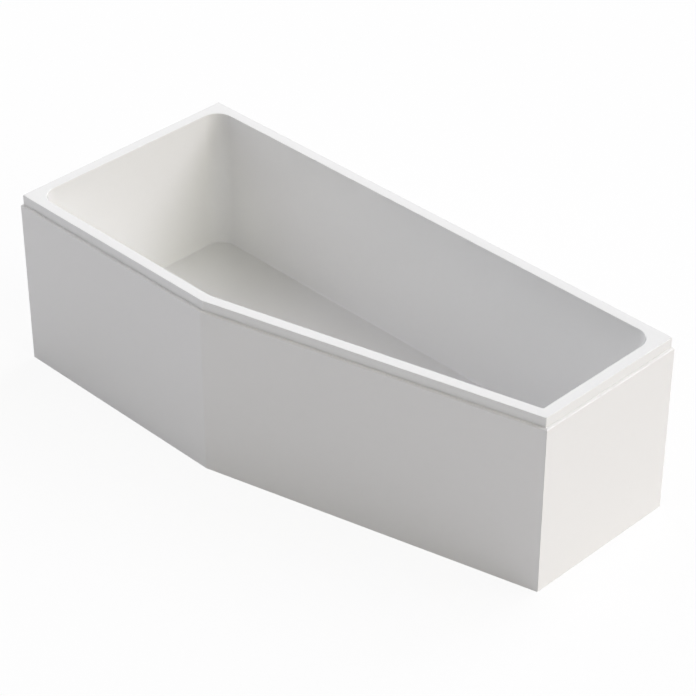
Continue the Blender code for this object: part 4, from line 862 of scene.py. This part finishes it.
def make_waste():
    corners = ((WASTE_FLANGE, 0.0999), (WASTE_FLANGE, 0.0981), (TAIL_RADIUS, 0.0981),
               (TAIL_RADIUS, 0.082), (TAIL_BORE, 0.082), (TAIL_BORE, 0.0981),
               (TAIL_RADIUS, 0.0999))
    radii = (0.0009, 0.0002, 0.0003, 0.0004, 0.0004, 0.0010, 0.0012)
    piece("waste_ring", [turned(rounded(corners, radii, 5), UPRIGHT, ring=True)], TRIM,
          ["waste_flange"])
    corners = ((BODY_FLANGE, 0.0879), (BODY_FLANGE, 0.0839), (0.030, 0.0839), (0.030, 0.0639),
               (TRAP_RADIUS, 0.0639), (TRAP_RADIUS, 0.0539), (TRAP_BORE, 0.0539),
               (TRAP_BORE, 0.0669), (0.0248, 0.0669), (0.0248, 0.0879))
    radii = (0.0007, 0.0008, 0.0015, 0.0025, 0.0012, 0.0004, 0.0004, 0.0004, 0.001, 0.0006)
    body = turned(rounded(corners, radii, 5), UPRIGHT, 192, True,
                  ribbed(RIBS, RIB_DEPTH, 0.0395))
    lying = UPRIGHT @ Matrix.Translation((0, 0, NECK_LEVEL)) @ Matrix.Rotation(math.pi / 2, 4, "Y")
    beside_it = Matrix.Translation((0, CABLE_ASIDE, 0)) @ lying
    spouts = [spout(lying, 0.0274, SPIGOT_REACH, SPIGOT_RADIUS, SPIGOT_BORE),
              spout(beside_it, 0.0165, BOSS_REACH, BOSS_RADIUS, BOSS_BORE)]
    piece("waste_body_moulding",
          [body] + spouts + spider(UPRIGHT, 0.026, STEM_RADIUS + FIT_GAP, 0.0684),
          FITTING, ["waste_body"])


def make_plug():
    """The cap's dome is a sphere of radius (r^2 + rise^2) / (2 rise), r being the cap's own."""
    sphere = (PLUG_RADIUS ** 2 + PLUG_CROWN ** 2) / (2 * PLUG_CROWN)
    across = np.linspace(0, PLUG_RADIUS - 0.001, 9)
    rise = PLUG_TOP + PLUG_CROWN - sphere + np.sqrt(sphere ** 2 - across ** 2)
    dome = np.column_stack((across, rise))
    under = ((PLUG_RADIUS, PLUG_TOP), (PLUG_RADIUS, PLUG_UNDER), (STEM_RADIUS, PLUG_UNDER),
             (STEM_RADIUS, STEM_END), (0, STEM_END))
    corners = np.concatenate((dome, under))
    radii = (0,) * len(dome) + (0.0008, 0.0006, 0.001, 0.0006, 0)
    piece("plug_cap", [turned(rounded(corners, radii, 5, False), UPRIGHT)], TRIM, ["waste_plug"],
          "plug")


def make_seals():
    """Flat rubber rings, each with rounded edges: (outer, inner, top, bottom) about its axis."""
    for node_name, matrix, outer, inner, top, bottom in (
            ("overflow_gasket", OVERFLOW, OVERFLOW_FLANGE, HOLE_RADIUS, -0.0053, -0.0083),
            ("waste_gasket", UPRIGHT, WASTE_FLANGE, HOLE_RADIUS, 0.0978, 0.0963),
            ("waste_under_gasket", UPRIGHT, BODY_FLANGE, HOLE_RADIUS, 0.0907, 0.0882),
            ("plug_seal", UPRIGHT, 0.0275, STEM_RADIUS + FIT_GAP, 0.1018, 0.1002)):
        section = rounded(oblong(outer, inner, top, bottom), 0.0005, 4)
        piece(node_name + "_ring", [turned(section, matrix, ring=True)], SEAL, [node_name],
              "plug" if node_name == "plug_seal" else "root")


def union_nut(matrix):
    """A round nut with twelve grips: its outside sinks between them, and both ends are rounded."""
    half, outer = NUT_LENGTH / 2, NUT_BORE + NUT_WALL

    def grips(radius, height, angle):
        groove = 0.0024 * np.clip(1.6 * np.sin(angle * 6) ** 2 - 0.5, 0, 1)
        return radius - np.where(radius > NUT_BORE + 0.0032, groove, 0), height
    section = rounded(oblong(outer, NUT_BORE, half, -half), (0.0012, 0.0012, 0.0006, 0.0006))
    return turned(section, matrix, 240, True, grips)


def waste_pipe(name, line, along, from_end, node_name):
    """A pipe along a line, with a collar by each nut that swells its radius as exp(-(d / w)^4)."""
    swell = np.exp(-((from_end - COLLAR_FROM_END) / (COLLAR_WIDTH / 2)) ** 4)
    piece(name, [tube(resample(line, along), (1, 0, 0), TRAP_RADIUS + COLLAR_RISE * swell,
                      TRAP_BORE, 56)], FITTING, [node_name])


def make_trap():
    x, y = WASTE
    start = y + OUTLET_START
    corners = ((x, y, TRAP_TOP), (x, y, TRAP_LOW), (x, y + TRAP_BACK, TRAP_LOW),
               (x, y + TRAP_BACK, TRAP_HIGH), (x, start, TRAP_HIGH))
    line = rounded(corners, (0, 0.024, 0.024, 0.020, 0), 24, False)
    length = path_length(line)
    along = np.linspace(0, length, 181)
    waste_pipe("trap", line, along, np.minimum(along, length - along), "trap_bend")
    ends = np.array(((x, start + FIT_GAP, TRAP_HIGH), (x, OUTLET_END, TRAP_HIGH)))
    length = ends[1, 1] - ends[0, 1]
    along = np.concatenate((np.linspace(0, 0.020, 40), np.linspace(0.021, length, 24)))
    waste_pipe("outlet", ends, along, along, "outlet_pipe")
    under, lying = Matrix.Translation((x, y, TRAP_TOP)), Matrix.Translation((x, start, TRAP_HIGH))
    piece("trap_union", [union_nut(under)], FITTING, ["trap_nut"])
    lying = lying @ Matrix.Rotation(-math.pi / 2, 4, "X")
    piece("outlet_union", [union_nut(lying)], FITTING, ["outlet_nut"])


# Hose and cable, both held along their whole way

HOSE_RADIUS, HOSE_GROOVE, HOSE_PITCH, HOSE_CUFF, HOSE_GRIP = 0.0125, 0.0018, 0.0046, 0.025, 0.018
HOSE_BEND, CABLE_BEND, FERRULE = 0.055, 0.050, 0.0012


def line_down(y, top, end, bend):
    """A line from the elbow down and round a bend to the waste body, and its length."""
    x = ELBOW_ROOT.x
    line = rounded(((x, y, top), (x, y, NECK_LEVEL), (end, y, NECK_LEVEL)), (0, bend, 0), 32, False)
    return line, path_length(line)


def make_hose():
    """A ribbed pipe: between its cuffs the radius falls by groove * (1 - cos(turns)) / 2."""
    line, length = line_down(ELBOW_ROOT.y, ELBOW_END + HOSE_GRIP,
                             WASTE[0] + SPIGOT_REACH - HOSE_GRIP, HOSE_BEND)
    ribs = round((length - 2 * HOSE_CUFF) / HOSE_PITCH)
    share = np.linspace(0, 1, ribs * 10 + 1)
    wave = HOSE_GROOVE * ((1 - np.cos(share * ribs * math.tau)) / 2) ** 0.8
    along = np.concatenate(([0, 0.0006], HOSE_CUFF + (length - 2 * HOSE_CUFF) * share,
                            [length - 0.0006, length]))
    radii = HOSE_RADIUS - np.concatenate(([0.0006, 0], wave, [0, 0.0006]))
    piece("hose", [tube(resample(line, along), (0, 1, 0), radii, SPIGOT_RADIUS + FIT_GAP, 40)],
          HOSE, ["overflow_hose"], sharp=60)


def make_cable():
    """A sheathed cable with a crimped ferrule at each end, its radius stepped by three grooves."""
    line, length = line_down(ELBOW_ROOT.y + CABLE_ASIDE, ELBOW_END - FIT_GAP,
                             WASTE[0] + BOSS_REACH + FIT_GAP, CABLE_BEND)
    fine = np.linspace(0, 0.016, 49)
    along = np.concatenate((fine, np.linspace(0.017, length - 0.017, 120), length - fine[::-1]))
    from_end = np.minimum(along, length - along)
    ferrule = FERRULE - 0.0005 * np.exp(-((from_end % 0.004 - 0.002) / 0.0005) ** 2)
    sections = circle(CABLE_RADIUS + np.where(from_end < 0.014, ferrule, 0), 28)
    piece("cable", [shell(swept(resample(line, along), (0, 1, 0), sections))], CABLE,
          ["plug_cable"])


# Rails, levelling feet, screws and clips

BOARD_UNDER, RAIL_SHEET, RAIL_DEPTH, RAIL_HALF, RAIL_BRIM = -0.0126, 0.0025, 0.030, 0.018, 0.018
RAIL_FOLD, STUD_HOLE, SCREW_HOLE = 0.004, 0.006, 0.0025
# The head rail's place from the head end, and the foot rail's from the waste
HEAD_RAIL, FOOT_RAIL = 0.280, -0.180
STUD_RADIUS, THREAD_PITCH, THREAD_DEPTH = 0.005, 0.0015, 0.0009
STUD_BORE, SLOPE_START = STUD_RADIUS + FIT_GAP, 0.0115
HEX_RADIUS, HEX_HEIGHT, PAD_RADIUS = 0.0096, 0.008, 0.024
CLIP_SHEET, CLIP_WIDTH, CLIP_FOLD = 0.002, 0.024, 0.0019
RIM_CLIP = ((0.0247, 0.4894), (0.0108, 0.4894), (0.0108, 0.4784), (0.001, 0.4784))
FLOOR_CLIP = ((0.005, 0.0053), (0.0188, 0.0053), (0.0188, 0.001), (0.0478, 0.001))
# Each kind's line, then how far in its screws stand, how high, and their turn
CLIP_KINDS = (("rim", RIM_CLIP, 0.0185, 0.4866, 0), ("floor", FLOOR_CLIP, 0.036, 0.0038, math.pi))
CLIP_PLACES = ((FRONT, 0.20), (FRONT, 0.75), (SLANT, 0.55), (FOOT, 0.22))
FLOOR_PLANE = (Matrix.Translation((*WASTE, WASTE_FLOOR - SHELL))
               @ Matrix.Rotation(math.atan(FLOOR_SLOPE), 4, "Y"))
PLACES = [f"{rail}_{end}" for rail in ("head", "foot") for end in ("front", "back")]


def middle(name):
    """A CAD node's middle in plan, and its lowest and highest point."""
    low, high = np.array(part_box(name))
    return (low[:2] + high[:2]) / 2, low[2], high[2]


def rod(x, y, radius, low, high, sides=32):
    return turned(((radius, high), (radius, low)), Matrix.Translation((x, y, 0)), sides)


def slot(x, y, half, radius, low, high):
    """An upright long hole's shape: two half circles set apart along y."""
    angle = np.arange(32) * math.tau / 32
    ring = np.column_stack((x + radius * np.cos(angle),
                            y + radius * np.sin(angle) + half * np.sign(np.sin(angle + 1e-6))))
    return shell(np.stack([np.column_stack((ring, np.full(32, height))) for height in (low, high)]))


def make_rail(rail, across):
    """A folded hat section between its two ends, with round folds and punched holes and slots."""
    low, high = np.array(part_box(rail + "_rail"))
    top, bottom = BOARD_UNDER - RAIL_SHEET / 2, BOARD_UNDER - RAIL_DEPTH + RAIL_SHEET / 2
    web, brim = RAIL_HALF - RAIL_SHEET / 2, RAIL_HALF + RAIL_BRIM
    folds = ((-brim, top), (-web, top), (-web, bottom), (web, bottom), (web, top), (brim, top))
    section = strip(rounded(folds, RAIL_FOLD, 6, False), RAIL_SHEET)
    x, z = across + section[:, 0], section[:, 1]
    grid = np.stack([np.column_stack((x, np.full(len(x), y), z))
                     for y in np.linspace(low[1], high[1], 12) - WASTE[1]])
    item = piece(rail + "_rail_folded", [shell(placed(grid, FLOOR_PLANE))], RAIL, [rail + "_rail"])
    studs = [middle(f"leveller_stud_{rail}_{end}")[0] for end in ("front", "back")]
    through = low[2] - 0.004, low[2] + 0.008
    holes = [rod(*stud, STUD_HOLE, *through) for stud in studs]
    holes += [slot(studs[0][0], y, 0.011, 0.005, *through)
              for y in np.linspace(studs[0][1], studs[1][1], 6)[1:-1]]
    holes += [rod(*place, SCREW_HOLE, low_z - 0.004, high_z + 0.004)
              for place, low_z, high_z in [middle(f"rail_screw_{number}") for number in range(1, 5)]
              if abs(place[0] - studs[0][0]) < 0.05]
    drill(item, *join(holes))


def thread(place, low, high):
    """A screw thread: crest - depth * |2 frac(z / pitch - a / turn) - 1|, its ends chamfered."""
    sides, rows = 24, round((high - low) / THREAD_PITCH * 8)
    height, angle = np.meshgrid(np.linspace(low, high, rows), np.arange(sides) * math.tau / sides,
                                indexing="ij")
    share = (height / THREAD_PITCH - angle / math.tau) % 1
    chamfer = STUD_RADIUS - 0.0012 + np.minimum(height - low, high - height)
    radius = np.minimum(STUD_RADIUS - THREAD_DEPTH * np.abs(2 * share - 1), chamfer)
    flat = place + radius[..., None] * spokes(angle)
    return shell(np.concatenate((flat, height[..., None]), -1))


def hexagon(radius, height, angle):
    """Flats at apothem / cos(angle from the flat), cut by a 30 degree cone at both ends."""
    apothem = HEX_RADIUS * math.cos(math.pi / 6)
    flat = apothem / np.cos(angle % (math.pi / 3) - math.pi / 6)
    cone = apothem - 0.0002 + math.sqrt(3) * np.minimum(height, HEX_HEIGHT - height)
    return np.where(radius > 0.007, np.minimum(flat, cone), radius), height


def tread(radius, height, angle):
    """Eight ribs on the pad's slope: it rises by rise * cos(4 angle)^16 between two radii."""
    on_slope = np.clip((radius - SLOPE_START) * 1000, 0, 1)
    on_slope = on_slope * np.clip((0.0228 - radius) * 1500, 0, 1)
    return radius, height + np.where(height > 0.003, 0.0012, 0) * on_slope * np.cos(angle * 4) ** 16


def pan_head(radius, rise, shank=0.0005):
    """A domed head with a cross recess, facing down, and a shank over it.

    Inside the cross, |x| or |y| under its half width, the face rises by the recess's depth.
    """
    across = np.linspace(0, radius, 15)
    face = np.column_stack((across, rise * 0.55 * (across / radius) ** 3))
    neck, end = radius * 0.5, rise + shank
    corners = [(radius, rise), (neck, rise), (neck, end), (0, end)]

    def crossed(at, height, angle):
        arm = np.minimum(abs(at * np.cos(angle)), abs(at * np.sin(angle)))
        deep = np.clip((0.13 * radius - arm) / (0.05 * radius), 0, 1) * (at < 0.62 * radius)
        return at, height + np.where(height < rise * 0.5, deep * rise * 0.4, 0)
    return np.concatenate((face, corners)), crossed


def make_feet():
    """Threaded studs on ribbed pads, each held in its rail by two hexagon nuts."""
    slope = np.linspace((SLOPE_START, 0.00946), (0.0232, 0.00529), 9).tolist()
    socket = [(0, 0.006), (STUD_BORE, 0.006), (STUD_BORE, 0.018), (0.010, 0.018), (0.010, 0.010)]
    sole = [(PAD_RADIUS, 0.005), (PAD_RADIUS, 0), (0.0195, 0), (0.019, 0.001), (0.012, 0.001),
            (0.0115, 0), (0.007, 0), (0.0065, 0.001), (0, 0.001)]
    radii = [0, 0.0004, 0.0006, 0.0010, 0.0008] + [0] * 9 + [0.0008, 0.0008] + [0.0003] * 6 + [0]
    pad = rounded(socket + slope + sole, radii, 4, False)
    cone, bevel = 0.0016, 0.0005
    heights = (*np.linspace(HEX_HEIGHT, HEX_HEIGHT - cone, 7), *np.linspace(cone, 0, 7))
    nut = [(HEX_RADIUS, height) for height in heights]
    nut += [(STUD_BORE + bevel, 0), (STUD_BORE, bevel), (STUD_BORE, HEX_HEIGHT - bevel),
            (STUD_BORE + bevel, HEX_HEIGHT)]
    for place in PLACES:
        at, low, high = middle("leveller_stud_" + place)
        body = "leveller_" + place
        piece("foot_stud_" + place, [thread(at, low, high)], FIXING, ["leveller_stud_" + place],
              body, sharp=60)
        piece("foot_pad_" + place, [turned(pad, Matrix.Translation((*at, 0)), 192, shape_of=tread)],
              SOLE, ["leveller_pad_" + place], body)
        for kind in ("nut", "locknut"):
            at, low, high = middle(f"leveller_{kind}_{place}")
            hex_nut = turned(nut, Matrix.Translation((*at, low)), 120, True, hexagon)
            piece(f"foot_{kind}_{place}", [hex_nut], FIXING, [f"leveller_{kind}_{place}"], sharp=25)


def make_screws():
    for number in range(1, 5):
        at, low, high = middle(f"rail_screw_{number}")
        profile, crossed = pan_head(0.0045, 0.0025, 0.0100)
        screw = turned(profile, Matrix.Translation((*at, low)), 64, shape_of=crossed)
        piece(f"screw_{number}", [screw], FIXING, [f"rail_screw_{number}"])


def make_clips():
    """Strips bent in two places, each held by two pan-head screws through its longer leg."""
    for number, (side, share) in enumerate(CLIP_PLACES, 1):
        centre = SIDE_LENGTHS[side] * share
        limits = (centre - CLIP_WIDTH / 2, centre + CLIP_WIDTH / 2)
        for kind, line, inset, level, turn in CLIP_KINDS:
            section = strip(rounded(line, CLIP_FOLD, 5, False), CLIP_SHEET)
            shells = [beside(side, limits, section)]
            profile, crossed = pan_head(0.0034, 0.0018)
            for offset in (-0.006, 0.006):
                spot = CORNERS[side] + INWARD[side] * inset + ALONG[side] * (centre + offset)
                matrix = Matrix.Translation((*spot, level)) @ Matrix.Rotation(turn, 4, "X")
                shells.append(turned(profile, matrix, 48, shape_of=crossed))
            piece(f"{kind}_clip_bent_{number}", shells, FIXING, [f"{kind}_clip_{number}"])


make_overflow()
make_waste()
make_plug()
make_seals()
make_trap()
make_hose()
make_cable()
make_rail("head", HEAD_X + HEAD_RAIL - WASTE[0])
make_rail("foot", FOOT_RAIL)
make_feet()
make_screws()
make_clips()


# Floor, light and camera

def white_to_camera(tree):
    """1 for rays that show the background: straight from the camera, in gloss or through glass."""
    path = node(tree, "LightPath").outputs
    glossy = maths(tree, "MAXIMUM", path["Is Glossy Ray"], path["Is Transmission Ray"])
    return maths(tree, "MAXIMUM", path["Is Camera Ray"], glossy)


FLOOR_BOUNCE, FLOOR_WHITE, SKY, LAMP_ANGLE = 0.85, 0.90, 0.04, math.radians(30)
# Azimuth and elevation in degrees, then the strength in red, green and blue
LAMPS = (
    (4, 15, (0.79, 0.75, 0.69)), (4, 40, (0.54, 0.53, 0.46)), (45, 40, (0.80, 0.78, 0.84)),
    (90, 15, (0.84, 0.83, 0.87)), (90, 40, (0.60, 0.60, 0.64)), (90, 65, (0.43, 0.43, 0.45)),
    (135, 40, (0.12, 0.13, 0.12)), (180, 15, (0.88, 0.88, 0.91)), (180, 40, (0.20, 0.20, 0.21)),
    (225, 15, (0.42, 0.43, 0.43)), (225, 40, (0.26, 0.25, 0.29)))


def make_floor():
    """A pale floor: white to the camera, a plain bounce to the tub, and its shadow stays."""
    half = 8.0
    mesh = bpy.data.meshes.new("floor")
    mesh.from_pydata([(-half, -half, 0), (half, -half, 0), (half, half, 0), (-half, half, 0)], [],
                     [(0, 1, 2, 3)])
    floor = new_object("floor", mesh)
    material = bpy.data.materials.new("floor_white")
    material.use_nodes = True
    tree = material.node_tree
    tree.nodes.clear()
    seen = white_to_camera(tree)
    colour = blend(tree, seen, (FLOOR_BOUNCE, FLOOR_BOUNCE, FLOOR_BOUNCE, 1), (1, 1, 1, 1))
    matt = node(tree, "BsdfDiffuse", {"Color": colour}).outputs[0]
    glow = node(tree, "Emission", {"Strength": 1.0}).outputs[0]
    mixed = node(tree, "MixShader", {0: times(tree, seen, FLOOR_WHITE), 1: matt,
                                     2: glow}).outputs[0]
    node(tree, "OutputMaterial", {"Surface": mixed})
    mesh.materials.append(material)


def make_world():
    """A little even light from all round the sky, shown as plain white."""
    world = bpy.data.worlds.new("studio")
    bpy.context.scene.world = world
    world.use_nodes = True
    tree = world.node_tree
    tree.nodes.clear()
    light = node(tree, "Background", {"Color": (1, 1, 1, 1), "Strength": SKY}).outputs[0]
    white = node(tree, "Background", {"Color": (1, 1, 1, 1), "Strength": 1.0}).outputs[0]
    mixed = node(tree, "MixShader", {0: white_to_camera(tree), 1: light, 2: white}).outputs[0]
    node(tree, "OutputWorld", {"Surface": mixed})


def make_lamps():
    """Soft lamps, strongest from the back and both ends, so that the front stays in shade."""
    for azimuth, elevation, strength in LAMPS:
        lamp = bpy.data.lights.new("lamp", "SUN")
        lamp.energy, lamp.angle = max(strength), LAMP_ANGLE
        lamp.color = np.array(strength) / max(strength)
        item = new_object("lamp", lamp)
        turn, rise = math.radians(azimuth), math.radians(elevation)
        toward = Vector((math.cos(rise) * math.cos(turn), math.cos(rise) * math.sin(turn),
                         math.sin(rise)))
        item.rotation_euler = toward.to_track_quat("Z", "Y").to_euler()


def make_camera():
    """The photograph's long lens, from beyond the foot-front corner and above.

    It looks along (-1, 1, -1), turned by the small rotation that the photograph's edges gave.
    """
    camera = bpy.data.cameras.new("camera")
    camera.lens, camera.sensor_width, camera.clip_end = 127.334, 36.0, 100.0
    view = new_object("camera", camera)
    view.location = (3.64944, -3.59943, 3.87706)
    turn = Vector((0.00089, 0.00002, 0.00037))
    look = Vector((-1, 1, -1)).to_track_quat("-Z", "Y")
    view.rotation_euler = (Quaternion(turn.normalized(), turn.length) @ look).to_euler()
    bpy.context.scene.camera = view


make_floor()
make_world()
make_lamps()
make_camera()
bpy.context.scene.view_settings.view_transform = "Standard"
